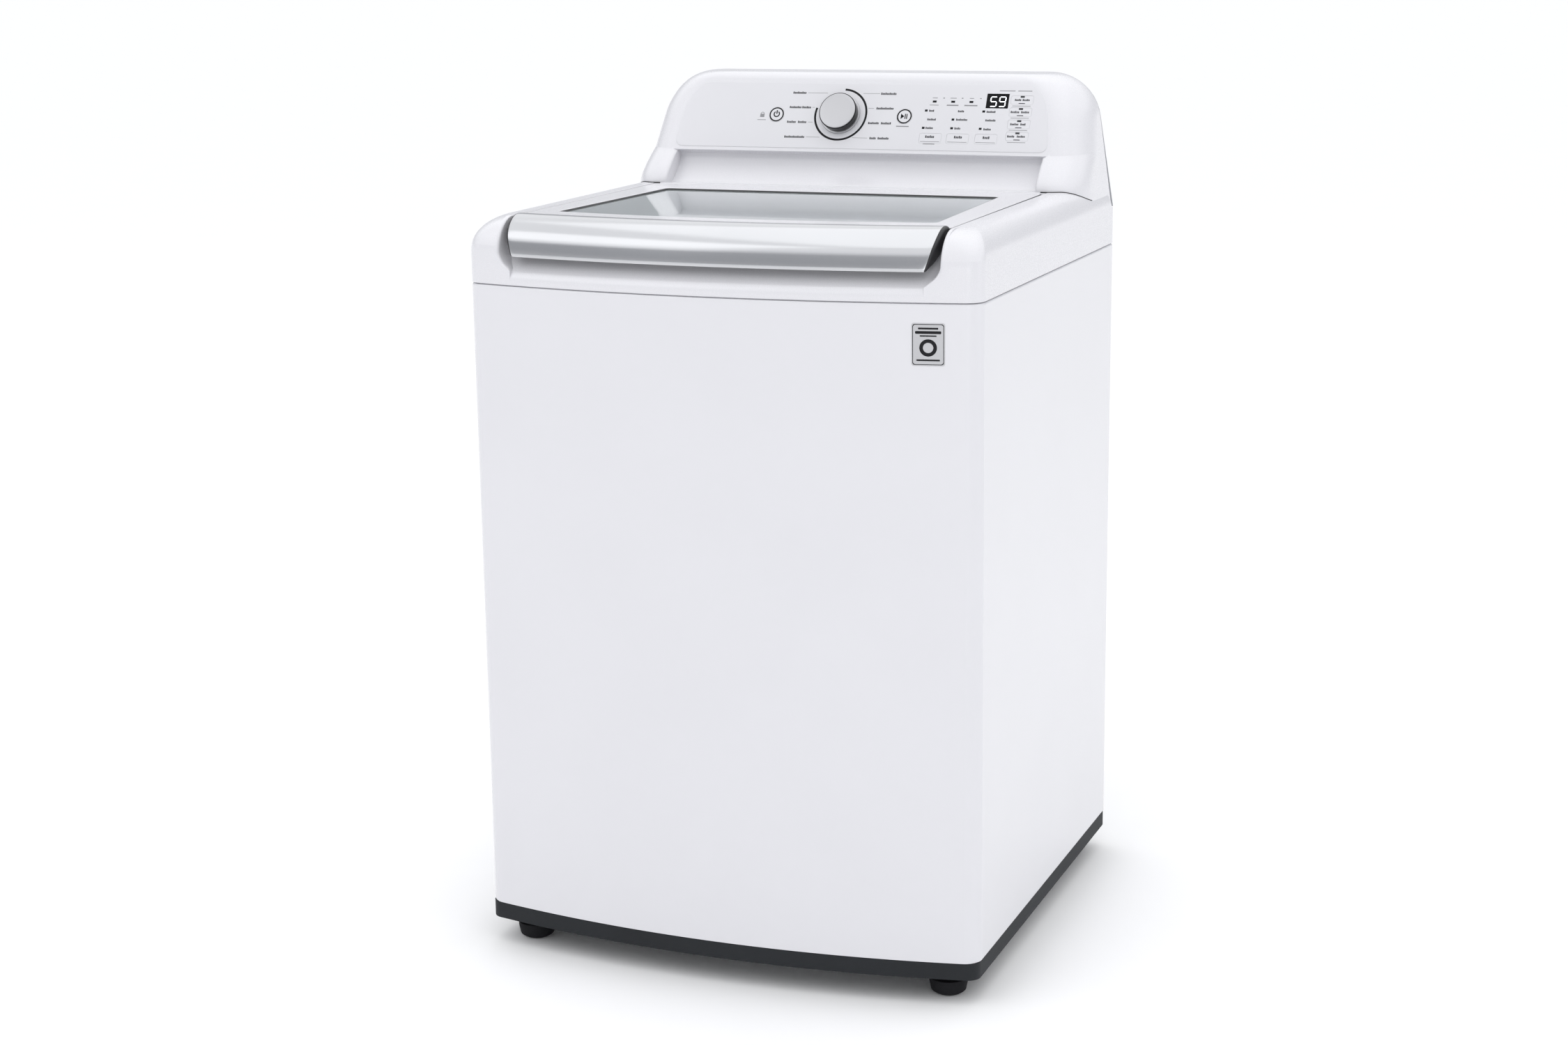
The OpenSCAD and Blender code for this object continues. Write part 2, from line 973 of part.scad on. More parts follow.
module cord_gland() {
    color([0.12, 0.12, 0.13])
    translate([-hose_x, rear_y, 840])
        rotate([-90, 0, 0])
            difference() {
                union() {
                    translate([0, 0, -7])
                        cylinder(r = 9, h = 12);
                    translate([0, 0, sheet_t])
                        cylinder(r = 13, h = 4);
                    translate([0, 0, -7])
                        cylinder(r = 13, h = 5);
                }
                translate([0, 0, -10])
                    cylinder(r = 4.6, h = 30);
            }
}

// ---------- drain ----------

module drain_port() {
    color([0.2, 0.2, 0.22])
    translate([hose_x, rear_y, hose_z])
        rotate([-90, 0, 0])
            difference() {
                union() {
                    translate([0, 0, -22])
                        cylinder(r = 12, h = 30);
                    translate([0, 0, sheet_t])
                        cylinder(r = 26, h = 4);
                    translate([0, 0, sheet_t])
                        cylinder(r = 14, h = 32);
                }
                translate([0, 0, -30])
                    cylinder(r = 10, h = 80);
            }
}

module drain_hose() {
    color([0.3, 0.3, 0.32])
    translate([hose_x, 170, hose_z])
        rotate([-90, 0, 0])
            difference() {
                union() {
                    cylinder(r = 15, h = 148);
                    for (i = [0:11])
                        translate([0, 0, 10 + i * 11])
                            cylinder(r = 17, h = 5);
                }
                translate([0, 0, -1])
                    cylinder(r = 12, h = 152);
            }
}

module drain_pump() {
    color([0.25, 0.25, 0.28])
    difference() {
        union() {
            translate([pump_x, pump_y, base_top_z - 1])
                cylinder(r = 28, h = 37);
            translate([pump_x, pump_y, base_top_z - 1])
                cylinder(r = 31, h = 5);
            translate([pump_x, pump_y, 90])
                cylinder(r = 38, h = 30);
            translate([pump_x, pump_y, 118])
                cylinder(r = 20, h = 12);
            translate([hose_x, pump_y, hose_z])
                rotate([-90, 0, 0])
                    cylinder(r = 12, h = 70);
        }
        translate([pump_x, pump_y, 94])
            cylinder(r = 33, h = 22);
        translate([pump_x, pump_y, 100])
            cylinder(r = 16, h = 40);
        translate([hose_x, pump_y, hose_z])
            rotate([-90, 0, 0])
                cylinder(r = 9, h = 80);
        translate([pump_x, pump_y, 80])
            cylinder(r = 3 + run_gap, h = 30);
    }
}

module pump_impeller() {
    color([0.6, 0.6, 0.65])
    translate([pump_x, pump_y, 0]) {
        translate([0, 0, 96])
            cylinder(r = 24, h = 3);
        for (a = [0, 45, 90, 135])
            rotate([0, 0, a])
                translate([-23, -1.5, 97])
                    cube([46, 3, 14]);
        translate([0, 0, 82])
            cylinder(r = 3, h = 20);
    }
}

// Bellows between the tub's outlet and the pump
module sump_hose() {
    color([0.15, 0.15, 0.16])
    translate([pump_x, pump_y, 0])
        difference() {
            union() {
                translate([0, 0, 121])
                    cylinder(r = 23, h = 56);
                for (i = [0:4])
                    translate([0, 0, 133 + i * 7.5])
                        cylinder(r = 27, h = 4);
            }
            translate([0, 0, 100])
                cylinder(r = 20.4, h = 100);
        }
}

// ---------- suspension ----------

spring_z0 = 192;
spring_z1 = 302;
lug_z = 340;
bracket_z = 868;

// Corner plates that the rods hang from
module corner_brackets() {
    color([0.66, 0.67, 0.7])
    difference() {
        translate([0, 0, bracket_z])
            linear_extrude(4)
                intersection() {
                    footprint(sheet_t);
                    union() {
                        for (sx = [-1, 1]) {
                            translate([sx * 286, tub_y + rod_d + 5])
                                square([116, 100], center = true);
                            translate([sx * 286, tub_y - rod_d - 5])
                                square([116, 100], center = true);
                        }
                    }
                }
        at_rods()
            translate([0, 0, bracket_z - 1])
                cylinder(r = 6, h = 8);
    }
}

module suspension_rods() {
    color([0.7, 0.7, 0.72])
    at_rods() {
        translate([0, 0, spring_z0 - 12])
            cylinder(r = rod_r, h = bracket_z + 12 - spring_z0 + 12);
        translate([0, 0, spring_z0 - 8])
            cylinder(r = 16, h = 8);
        translate([0, 0, bracket_z + 4])
            cylinder(r = 13, h = 8);
    }
}

// Plain sleeves that hold the space of the coil springs
module suspension_springs() {
    color([0.5, 0.52, 0.55])
    at_rods()
        ring(16, 10, spring_z0, spring_z1);
}

// Cups under the tub's lugs that slide on the rods
module damper_cups() {
    color([0.85, 0.86, 0.88])
    at_rods()
        difference() {
            translate([0, 0, spring_z1 - 40])
                cylinder(r = 22, h = lug_z - spring_z1 + 40);
            translate([0, 0, spring_z1 - 41])
                cylinder(r = 18, h = 41.5);
            translate([0, 0, spring_z1 - 1])
                cylinder(r = rod_r + run_gap, h = 80);
        }
}

// ---------- tub ----------

module outer_tub() {
    floor_t = 8;
    color([0.8, 0.81, 0.83])
    difference() {
        union() {
            on_axis() {
                ring(tub_r, tub_r - 4, tub_z, tub_top_z);
                ring(tub_r + 5, tub_r - 4, tub_top_z - 8, tub_top_z);
                ring(tub_r - 1, 45, tub_z, tub_z + floor_t);
            }
            for (a = [45:90:315])
                on_axis()
                    rotate([0, 0, a])
                        translate([tub_r - 2, -22, lug_z])
                            cube([rod_d * sqrt(2) - tub_r + 20, 44, 10]);
            translate([pump_x, pump_y, tub_z - 12])
                cylinder(r = 20, h = 14);
        }
        at_rods()
            translate([0, 0, lug_z - 1])
                cylinder(r = 8, h = 20);
        translate([pump_x, pump_y, tub_z - 14])
            cylinder(r = 16, h = 30);
    }
}

module tub_cover() {
    color([0.9, 0.91, 0.92])
    on_axis()
        rotate_extrude()
            polygon([
                [mouth_r + 5, tub_top_z],
                [tub_r + 5, tub_top_z],
                [tub_r + 5, tub_top_z + 4],
                [tub_r - 15, tub_top_z + 8],
                [mouth_r + 14, tub_top_z + 14],
                [mouth_r + 5, tub_top_z + 14]
            ]);
}

module bearing_housing() {
    color([0.68, 0.69, 0.71])
    on_axis() {
        difference() {
            union() {
                translate([0, 0, 114])
                    cylinder(r = 44, h = 70);
                translate([0, 0, 170])
                    cylinder(r = 150, h = 8);
                for (a = [0:60:300])
                    rotate([0, 0, a])
                        translate([66, -4, 158])
                            cube([76, 8, 13]);
            }
            translate([0, 0, 160])
                cylinder(r = bearing_r, h = 40);
            translate([0, 0, 100])
                cylinder(r = bearing_r, h = 38);
            translate([0, 0, 100])
                cylinder(r = 20, h = 100);
        }
    }
}

// Two identical ball bearings, drawn as closed rings
module shaft_bearings() {
    color([0.75, 0.76, 0.78])
    on_axis() {
        ring(bearing_r, spin_r + run_gap, 160, 176);
        ring(bearing_r, spin_r + run_gap, 122, 138);
    }
}

module shaft_seal() {
    color([0.15, 0.15, 0.16])
    on_axis()
        ring(bearing_r, spin_r + run_gap, 176, 184);
}

module motor_stator() {
    color([0.72, 0.42, 0.22])
    on_axis() {
        ring(60, 44, 98, 170);
        ring(98, 59, 102, 132);
        for (a = [0:15:345])
            rotate([0, 0, a])
                translate([96, -6, 104])
                    cube([28, 12, 26]);
    }
}

// ---------- rotating parts ----------

module wash_basket() {
    color([0.8, 0.81, 0.82])
    on_axis()
        rotate_extrude()
            polygon([
                [16, 204],
                [basket_r - 22, 204],
                [basket_r - 6, 209],
                [basket_r, 224],
                [basket_r, 765],
                [basket_r - 0.8, 765],
                [basket_r - 0.8, 224],
                [basket_r - 6.6, 209.8],
                [basket_r - 22, 204.9],
                [16, 204.9]
            ]);
}

module balance_ring() {
    color([0.9, 0.91, 0.93])
    on_axis()
        rotate_extrude()
            polygon(concat(
                [[mouth_r + 2, 772], [basket_r, 765], [basket_r + 2, 770], [basket_r + 2, 806]],
                arc(basket_r - 4, 806, 6, 0, 90, 4),
                arc(mouth_r + 8, 804, 8, 90, 180, 5)
            ));
}

// Cast hub under the basket's floor, keyed on the spin shaft
module basket_hub() {
    color([0.68, 0.69, 0.71])
    on_axis()
        difference() {
            union() {
                translate([0, 0, 190])
                    cylinder(r = 40, h = 14);
                for (a = [0, 120, 240])
                    rotate([0, 0, a])
                        translate([0, -18, 196])
                            cube([225, 36, 8]);
            }
            translate([0, 0, 180])
                cylinder(r = spin_r, h = 40);
        }
}

module spin_shaft() {
    color([0.72, 0.73, 0.75])
    on_axis()
        ring(spin_r, wash_r + run_gap, 112, 214);
}

// Low dished impeller with four curved-back vanes
module wash_plate() {
    color([0.82, 0.83, 0.85])
    on_axis()
        difference() {
            union() {
                rotate_extrude()
                    polygon([
                        [0, 216],
                        [60, 216],
                        [150, 214],
                        [208, 219],
                        [210, 224],
                        [205, 228],
                        [150, 221],
                        [70, 228],
                        [40, 246],
                        [0, 250]
                    ]);
                for (a = [0:90:270])
                    rotate([0, 0, a])
                        translate([0, 9, 0])
                            rotate([90, 0, 0])
                                linear_extrude(18)
                                    polygon([
                                        [20, 218],
                                        [196, 220],
                                        [194, 236],
                                        [150, 252],
                                        [90, 262],
                                        [20, 262]
                                    ]);
            }
            translate([0, 0, 190])
                cylinder(r = wash_r, h = 46);
            translate([0, 0, 190])
                cylinder(r = 17, h = 26);
        }
}

module plate_cap() {
    color([0.7, 0.71, 0.74])
    on_axis()
        rotate_extrude()
            polygon(concat([[0, 262], [38, 262]], arc(30, 264, 8, 0, 80, 4), [[0, 274]]));
}

module wash_shaft() {
    color([0.72, 0.73, 0.75])
    on_axis()
        translate([0, 0, 80])
            cylinder(r = wash_r, h = 156);
}

module motor_rotor() {
    color([0.5, 0.51, 0.53])
    on_axis() {
        ring(137, 130, 86, 140);
        difference() {
            union() {
                ring(137, wash_r, 84, 88);
                ring(22, wash_r, 84, 100);
            }
            for (a = [0:45:315])
                rotate([0, 0, a])
                    translate([85, 0, 80])
                        cylinder(r = 16, h = 20);
        }
    }
}

cabinet();
rear_panel();
rear_screws();
base_frame();
foot_nuts();
top_cover();
control_panel();
panel_overlay();
console_back();
display_window();
display_board();
main_board();
water_valves();
cord_gland();
drain_port();
drain_hose();
drain_pump();
sump_hose();
lid_lock();
hinge_brackets();
drawer_housing();
corner_brackets();
suspension_rods();
suspension_springs();
damper_cups();
outer_tub();
tub_cover();
bearing_housing();
shaft_bearings();
shaft_seal();
motor_stator();
wash_basket();
balance_ring();
basket_hub();
spin_shaft();
wash_plate();
plate_cap();
wash_shaft();
motor_rotor();
pump_impeller();
lid_frame();
lid_glass();
lid_handle();
lid_hinge_pins();
lid_strike();
cycle_knob();
power_key();
start_key();
temp_key();
spin_key();
soil_key();
side_key_1();
side_key_2();
side_key_3();
side_key_4();
detergent_drawer();
foot_front_left();
foot_front_right();
foot_rear_left();
foot_rear_right();
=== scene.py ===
"""Looks of the top load washing machine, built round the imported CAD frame.

Shapes are written in millimetres in the row frame and turned into metres by add_mesh().
"""
import json
import math

import bmesh
import bpy
from mathutils import Matrix, Vector

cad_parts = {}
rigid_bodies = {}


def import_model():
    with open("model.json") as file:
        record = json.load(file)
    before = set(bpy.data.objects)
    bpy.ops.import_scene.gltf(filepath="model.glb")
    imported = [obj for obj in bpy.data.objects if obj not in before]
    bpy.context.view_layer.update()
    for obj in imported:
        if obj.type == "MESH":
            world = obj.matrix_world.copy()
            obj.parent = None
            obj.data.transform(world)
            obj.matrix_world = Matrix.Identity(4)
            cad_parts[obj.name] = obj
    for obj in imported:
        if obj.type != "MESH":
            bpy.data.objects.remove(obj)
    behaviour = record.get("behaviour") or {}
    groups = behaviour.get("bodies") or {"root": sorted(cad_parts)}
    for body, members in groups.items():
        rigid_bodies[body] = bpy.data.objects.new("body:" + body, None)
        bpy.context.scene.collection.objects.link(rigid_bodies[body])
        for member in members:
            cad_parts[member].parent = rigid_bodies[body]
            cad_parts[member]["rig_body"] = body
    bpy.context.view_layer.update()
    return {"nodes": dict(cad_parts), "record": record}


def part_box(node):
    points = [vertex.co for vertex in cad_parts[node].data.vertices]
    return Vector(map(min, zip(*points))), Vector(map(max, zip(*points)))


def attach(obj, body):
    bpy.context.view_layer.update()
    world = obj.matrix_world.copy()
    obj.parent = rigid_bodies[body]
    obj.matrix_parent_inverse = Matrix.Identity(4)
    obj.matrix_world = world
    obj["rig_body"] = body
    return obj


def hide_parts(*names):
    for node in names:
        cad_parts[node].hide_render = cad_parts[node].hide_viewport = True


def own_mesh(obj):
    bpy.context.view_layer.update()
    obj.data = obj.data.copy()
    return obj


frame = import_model()

MM = 0.001

# ---- sizes from the frame


def box_mm(node):
    """Lowest and highest corner of a CAD node, in millimetres."""
    lo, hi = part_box(node)
    return lo / MM, hi / MM


cabinet_lo, cabinet_hi = box_mm("cabinet")
cover_hi = box_mm("top_cover")[1]
panel_hi = box_mm("control_panel")[1]
frame_lo = box_mm("lid_frame")[0]
handle_hi = box_mm("lid_handle")[1]

HALF_W = cabinet_hi.x
FRONT_Y = cabinet_lo.y
REAR_Y = cabinet_hi.y
BASE_TOP = cabinet_lo.z
SEAM_Z = cabinet_hi.z
COVER_Z = SEAM_Z + 1.5
DECK_Z = cover_hi.z
TOTAL_H = panel_hi.z

BOW = 38.5
BOW_R = (HALF_W ** 2 + BOW ** 2) / (2 * BOW)
BOW_Y = FRONT_Y + BOW_R
CORNER_R = 18

SHOULDER_R = 38
NOSE_R = 46
POCKET_Z = 914
TRAY_Z = 948
TRAY_REAR_Y = 151
RECESS_HW_FRONT = 293.5
RECESS_HW_REAR = 288.5

LIP_Y = 195
LIP_Z = 1022
LEAN = math.radians(27.3)
COVE_HW = 272
CONSOLE_BACK_Z = 943.7

# plan of the loading opening: half width, front and rear edge, corner radius
OPENING_HW, OPENING_FRONT_Y, OPENING_REAR_Y, OPENING_R = 232, -250, 98, 60
SKIRT_Z = 873
# plan of the console's foot: its front edge and its long front corners
CONSOLE_FRONT_Y, CONSOLE_BOTTOM_Z = 153, 930
CONSOLE_RX, CONSOLE_RY = 46, 75
LID_HW_FRONT, LID_HW_REAR, LID_REAR_Y = 291, 286, 144
GLASS_HW_FRONT, GLASS_HW_REAR, GLASS_FRONT_Y, GLASS_REAR_Y = 254, 240, -251, 86
# width of the cabinet's turned-in rear edge, of its top and bottom flanges, and of its rear rails
RETURN_W, FLANGE_W, RAIL_H = 26, 14, 25

TUB_Y = -20
# distance of the suspension rods from the tub's axis, along x and along y
ROD_REACH = 262
WELD = 0.02


def bow_y(x, y_middle):
    """Y at x of the bowed line that passes through y_middle on the middle plane."""
    r = BOW_Y - y_middle
    return BOW_Y - math.sqrt(r * r - x * x)


def on_panel(x, v, w):
    """Point on the panel: x across, v up its slope from the lip, w out of it."""
    return (
        x,
        LIP_Y + v * math.sin(LEAN) - w * math.cos(LEAN),
        LIP_Z + v * math.cos(LEAN) + w * math.sin(LEAN),
    )


def panel_loop(points, w):
    """Points of (x, v) put on the panel, all w out of it."""
    return [on_panel(x, v, w) for x, v in points]


# ---- mesh helpers


def cos_deg(a):
    return math.cos(math.radians(a))


def sin_deg(a):
    return math.sin(math.radians(a))


def root(x):
    """Square root that reads a little below zero as zero."""
    return math.sqrt(max(0, x))


def arc(cx, cy, r, a0, a1, n):
    """Points along an arc, angles in degrees."""
    return [
        (cx + r * cos_deg(a0 + (a1 - a0) * i / n),
         cy + r * sin_deg(a0 + (a1 - a0) * i / n))
        for i in range(n + 1)
    ]


def spread(a, b, n):
    """n + 1 numbers from a to b."""
    return [a + (b - a) * i / n for i in range(n + 1)]


def loft(rings, closed=True, caps=(False, False), skip=None):
    """Vertices and faces of a skin over rings with equal numbers of points."""
    n = len(rings[0])
    verts = [p for ring in rings for p in ring]
    faces = []
    span = n if closed else n - 1
    for r in range(len(rings) - 1):
        for i in range(span):
            if skip and skip(r, i):
                continue
            j = (i + 1) % n
            faces.append((r * n + i, r * n + j, (r + 1) * n + j, (r + 1) * n + i))
    if caps[0]:
        faces.append(tuple(reversed(range(n))))
    if caps[1]:
        faces.append(tuple(range((len(rings) - 1) * n, len(rings) * n)))
    return verts, faces


def solid(rings):
    """Skin over rings, closed at both ends."""
    return loft(rings, caps=(True, True))


def tube(rings):
    """Skin over rings that comes back to the first of them."""
    return loft(rings + [rings[0]])


def lathe(profile, centre, n=96):
    """Rings of a (radius, z) profile turned about an upright axis."""
    rings = []
    for k in range(n):
        a = 2 * math.pi * k / n
        rings.append([
            (centre[0] + r * math.cos(a), centre[1] + r * math.sin(a), z) for r, z in profile
        ])
    rings.append(rings[0])
    return loft(rings, closed=False)


def at_z(points, z):
    return [(x, y, z) for x, y in points]


def mirrored(half):
    """Whole ring from its right half, which ends on the middle plane."""
    return half + [(-p[0],) + p[1:] for p in reversed(half[:-1])]


def merge_parts(parts):
    """Joins several (vertices, faces) into one."""
    verts, faces = [], []
    for v, f in parts:
        base = len(verts)
        verts += v
        faces += [tuple(i + base for i in face) for face in f]
    return verts, faces


def dress(obj, material, node, extra=False, slot=None):
    """Material and body of a piece that replaces a CAD node.

    It goes beside the node instead if it is extra or has a slot of its own."""
    obj.data.materials.clear()
    obj.data.materials.append(material)
    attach(obj, frame["nodes"][node]["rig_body"])
    slot or slot_of[node]
    if not (extra or slot):
        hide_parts(node)


def new_object(name, data):
    obj = bpy.data.objects.new(name, data)
    bpy.context.scene.collection.objects.link(obj)
    return obj


def from_bmesh(name, bm, sharp=30):
    """Mesh object from a bmesh, smooth apart from edges above an angle."""
    mesh = bpy.data.meshes.new(name)
    bm.to_mesh(mesh)
    bm.free()
    for p in mesh.polygons:
        p.use_smooth = True
    mesh.set_sharp_from_angle(angle=math.radians(sharp))
    return new_object(name, mesh)


def face_outward(bm):
    """Turns every separate sheet so its faces look away from the middle of the whole mesh."""
    middle = sum((v.co for v in bm.verts), Vector()) / len(bm.verts)
    left = set(bm.faces)
    while left:
        sheet, todo = [], [left.pop()]
        while todo:
            face = todo.pop()
            sheet.append(face)
            for edge in face.edges:
                for other in edge.link_faces:
                    if other in left:
                        left.remove(other)
                        todo.append(other)
        if sum(f.calc_area() * f.normal.dot(f.calc_center_median() - middle) for f in sheet) < 0:
            bmesh.ops.reverse_faces(bm, faces=sheet)


def even_normals(obj):
    obj.modifiers.new("normals", "WEIGHTED_NORMAL").keep_sharp = True


def add_mesh(name, data, material, node, sharp=30, thickness=0, extra=False, slot=None):
    """Piece from millimetre vertices and faces, or a list of such, with an optional wall."""
    verts, faces = merge_parts(data) if isinstance(data, list) else data
    bm = bmesh.new()
    made = [bm.verts.new((v[0] * MM, v[1] * MM, v[2] * MM)) for v in verts]
    for f in faces:
        loop = [made[i] for i in f]
        if len(set(loop)) == len(loop) and not bm.faces.get(loop):
            bm.faces.new(loop)
    bmesh.ops.remove_doubles(bm, verts=bm.verts, dist=WELD * MM)
    bmesh.ops.dissolve_degenerate(bm, dist=WELD / 2 * MM, edges=bm.edges)
    loose = [v for v in bm.verts if not v.link_faces]
    bmesh.ops.delete(bm, geom=loose, context="VERTS")
    bmesh.ops.recalc_face_normals(bm, faces=bm.faces)
    if thickness:
        face_outward(bm)
    obj = from_bmesh(name, bm, sharp)
    dress(obj, material, node, extra, slot)
    if thickness:
        wall = obj.modifiers.new("wall", "SOLIDIFY")
        wall.thickness = thickness * MM
        wall.offset = -1
        wall.use_even_offset = False
    even_normals(obj)
    return obj


def soft_copy(node, material, width):
    """The CAD node's shape with rounded edges and smooth curved faces."""
    bm = bmesh.new()
    bm.from_mesh(frame["nodes"][node].data)
    bmesh.ops.remove_doubles(bm, verts=bm.verts, dist=WELD / 2 * MM)
    bmesh.ops.dissolve_limit(
        bm, angle_limit=math.radians(0.4), verts=bm.verts, edges=bm.edges, delimit=set()
    )
    obj = from_bmesh(node + "_piece", bm, 40)
    dress(obj, material, node)
    if width:
        edge = obj.modifiers.new("edge", "BEVEL")
        edge.width = width * MM
        edge.segments = 2
        edge.limit_method = "ANGLE"
        edge.angle_limit = math.radians(38)
        edge.harden_normals = False
    even_normals(obj)


slot_of = {s["node"]: s["material_slot"] for s in frame["record"]["subparts"]}

# ---- materials


def link(tree, a, out, b, into):
    tree.links.new(a.outputs[out], b.inputs[into])


def set_inputs(node, **values):
    """Values on a node's inputs, with underscores for the spaces in their names."""
    for key, value in values.items():
        node.inputs[key.replace("_", " ")].default_value = value


def add_node(tree, kind, **values):
    node = tree.nodes.new("ShaderNode" + kind)
    set_inputs(node, **values)
    return node


def surface(name, color, rough, metal, vary, rough_vary, grain, bump, blotch=6, stretch=None, **sockets):
    """Principled material with slight colour drift, uneven gloss and a fine relief."""
    mat = bpy.data.materials.new(name)
    mat.use_nodes = True
    tree = mat.node_tree
    shader = tree.nodes["Principled BSDF"]
    set_inputs(shader, Metallic=metal, **sockets)
    coords = add_node(tree, "TexCoord")
    source, out = coords, "Object"
    if stretch:
        source, out = add_node(tree, "Mapping", Scale=stretch), "Vector"
        link(tree, coords, "Object", source, "Vector")
    drift = add_node(tree, "TexNoise", Scale=blotch, Detail=4)
    link(tree, coords, "Object", drift, "Vector")
    ramp = add_node(tree, "ValToRGB")
    for end, position, share in zip(ramp.color_ramp.elements, (0.3, 0.7), (1 - vary, 1 + vary)):
        end.position = position
        end.color = [min(1, c * share) for c in color] + [1]
    link(tree, drift, "Fac", ramp, "Fac")
    link(tree, ramp, "Color", shader, "Base Color")
    fine = add_node(tree, "TexNoise", Scale=grain, Detail=3)
    link(tree, source, out, fine, "Vector")
    gloss = add_node(tree, "MapRange", To_Min=max(0.02, rough - rough_vary), To_Max=rough + rough_vary)
    link(tree, fine, "Fac", gloss, "Value")
    link(tree, gloss, "Result", shader, "Roughness")
    relief = add_node(tree, "Bump", Strength=bump, Distance=0.001)
    link(tree, fine, "Fac", relief, "Height")
    link(tree, relief, "Normal", shader, "Normal")
    return mat


WHITE = (0.715, 0.711, 0.738)
# name, colour, roughness, metal, colour drift, gloss drift, grain, relief
paint = surface("white_enamel", WHITE, 0.24, 0, 0.008, 0.04, 420, 0.012, Coat_Weight=0.35,
    Coat_Roughness=0.12)
moulding = surface("white_moulding", (0.718, 0.714, 0.74), 0.27, 0, 0.008, 0.05, 1500, 0.02,
    Coat_Weight=0.25, Coat_Roughness=0.15)
film = surface("panel_film", (0.7, 0.697, 0.722), 0.33, 0, 0.006, 0.04, 2400, 0.015)
key_film = surface("key_film", (0.705, 0.702, 0.727), 0.3, 0, 0.006, 0.04, 2400, 0.015)
charcoal = surface("charcoal_band", (0.013, 0.015, 0.018), 0.62, 0, 0.15, 0.08, 1200, 0.12,
    Specular_IOR_Level=0.3)
rubber = surface("foot_rubber", (0.01, 0.01, 0.012), 0.8, 0, 0.2, 0.1, 900, 0.2,
    Specular_IOR_Level=0.25)
silver = surface("silver_handle", (0.56, 0.565, 0.58), 0.18, 0.9, 0.02, 0.04, 2600, 0.03,
    Coat_Weight=0.5, Coat_Roughness=0.12)
knob_face = surface("knob_silver", (0.46, 0.46, 0.475), 0.33, 0.8, 0.02, 0.06, 1800, 0.03,
    stretch=(1, 12, 12), Coat_Weight=0.2)
# The knob's side is near-black: painted shade standing in for the shadow on the knob's side.
knob_side_shade = surface("knob_side_shade", (0.02, 0.02, 0.022), 0.3, 0.7, 0.02, 0.05, 1800, 0.02)
glass = surface("tinted_glass", (0.83, 0.88, 0.89), 0.03, 0, 0.01, 0.012, 60, 0,
    Transmission_Weight=0.72, IOR=1.5)
black_gloss = surface("black_glass", (0.004, 0.004, 0.005), 0.12, 0, 0.1, 0.02, 300, 0,
    Specular_IOR_Level=0.15)
stainless = surface("stainless", (0.8, 0.8, 0.81), 0.34, 0.5, 0.03, 0.08, 140, 0.03, stretch=(1, 1, 24))
shaft_steel = surface("shaft_steel", (0.55, 0.55, 0.56), 0.3, 1, 0.05, 0.08, 600, 0.04)
zinc = surface("galvanised_sheet", (0.47, 0.48, 0.495), 0.42, 0.75, 0.05, 0.1, 220, 0.04, blotch=90)
cast = surface("cast_alloy", (0.55, 0.56, 0.57), 0.5, 0.9, 0.06, 0.1, 900, 0.15)
tub_grey = surface("tub_plastic", (0.6, 0.61, 0.62), 0.5, 0, 0.03, 0.08, 1000, 0.08)
pale_plastic = surface("light_plastic", (0.7, 0.71, 0.73), 0.42, 0, 0.02, 0.08, 1100, 0.06)
drawer_blue = surface("drawer_plastic", (0.5, 0.58, 0.68), 0.38, 0, 0.03, 0.08, 1100, 0.05)
black_plastic = surface("black_plastic", (0.02, 0.02, 0.022), 0.45, 0, 0.15, 0.1, 1200, 0.1)
hose = surface("hose_rubber", (0.03, 0.03, 0.032), 0.6, 0, 0.15, 0.1, 900, 0.12)
board = surface("solder_mask", (0.04, 0.18, 0.09), 0.35, 0, 0.15, 0.1, 500, 0.08)
copper = surface("enamelled_wire", (0.5, 0.21, 0.08), 0.35, 0.7, 0.15, 0.1, 260, 0.3,
    stretch=(1, 1, 20))
ink = surface("print_ink", (0.01, 0.01, 0.012), 0.6, 0, 0.1, 0.05, 2000, 0, Specular_IOR_Level=0.2)
pale_ink = surface("print_grey", (0.05, 0.05, 0.055), 0.6, 0, 0.05, 0.05, 2000, 0,
    Specular_IOR_Level=0.2)
faint_ink = surface("print_faint", (0.26, 0.26, 0.27), 0.6, 0, 0.05, 0.05, 2000, 0)
badge_metal = surface("badge_silver", (0.5, 0.5, 0.515), 0.35, 0.5, 0.02, 0.05, 900, 0.02)
digit = surface("lit_digit", (0.9, 0.92, 0.95), 0.4, 0, 0.03, 0.05, 900, 0.02, Emission_Strength=1.1,
    Emission_Color=(0.9, 0.93, 1, 1))

# ---- cabinet


def plan_corner(side_x, front, r_x, r_y, steps, x_stop):
    """Outline points from the side round the front corner and along the front to x_stop.

    front(x) is the y of the front surface; the corner is a quarter ellipse."""
    end = 90
    if x_stop > side_x - r_x:
        end = math.degrees(math.acos(max(0, (x_stop - (side_x - r_x)) / r_x)))
    points = []
    for a in spread(0, end, steps):
        x = side_x - r_x + r_x * cos_deg(a)
        points.append((x, front(x) + r_y - r_y * sin_deg(a)))
    for x in spread(points[-1][0], x_stop, 3)[1:]:
        points.append((x, front(x)))
    return points


def cabinet_outline(inset, steps=10):
    """Right half of the cabinet's plan from the rear return to the middle of the front."""
    r = max(CORNER_R - inset, 4)
    side = HALF_W - inset
    rear = REAR_Y - inset
    points = [(side - RETURN_W, rear)]
    points += [(x, y) for x, y in arc(side - r, rear - r, r, 90, 0, steps)]
    points += [(side, y) for y in spread(rear - r - 60, -200, 5)]
    points += plan_corner(side, lambda x: bow_y(x, FRONT_Y + inset), r, r, steps, 300)
    points += [(x, bow_y(x, FRONT_Y + inset)) for x in spread(285, 0, 19)]
    return points


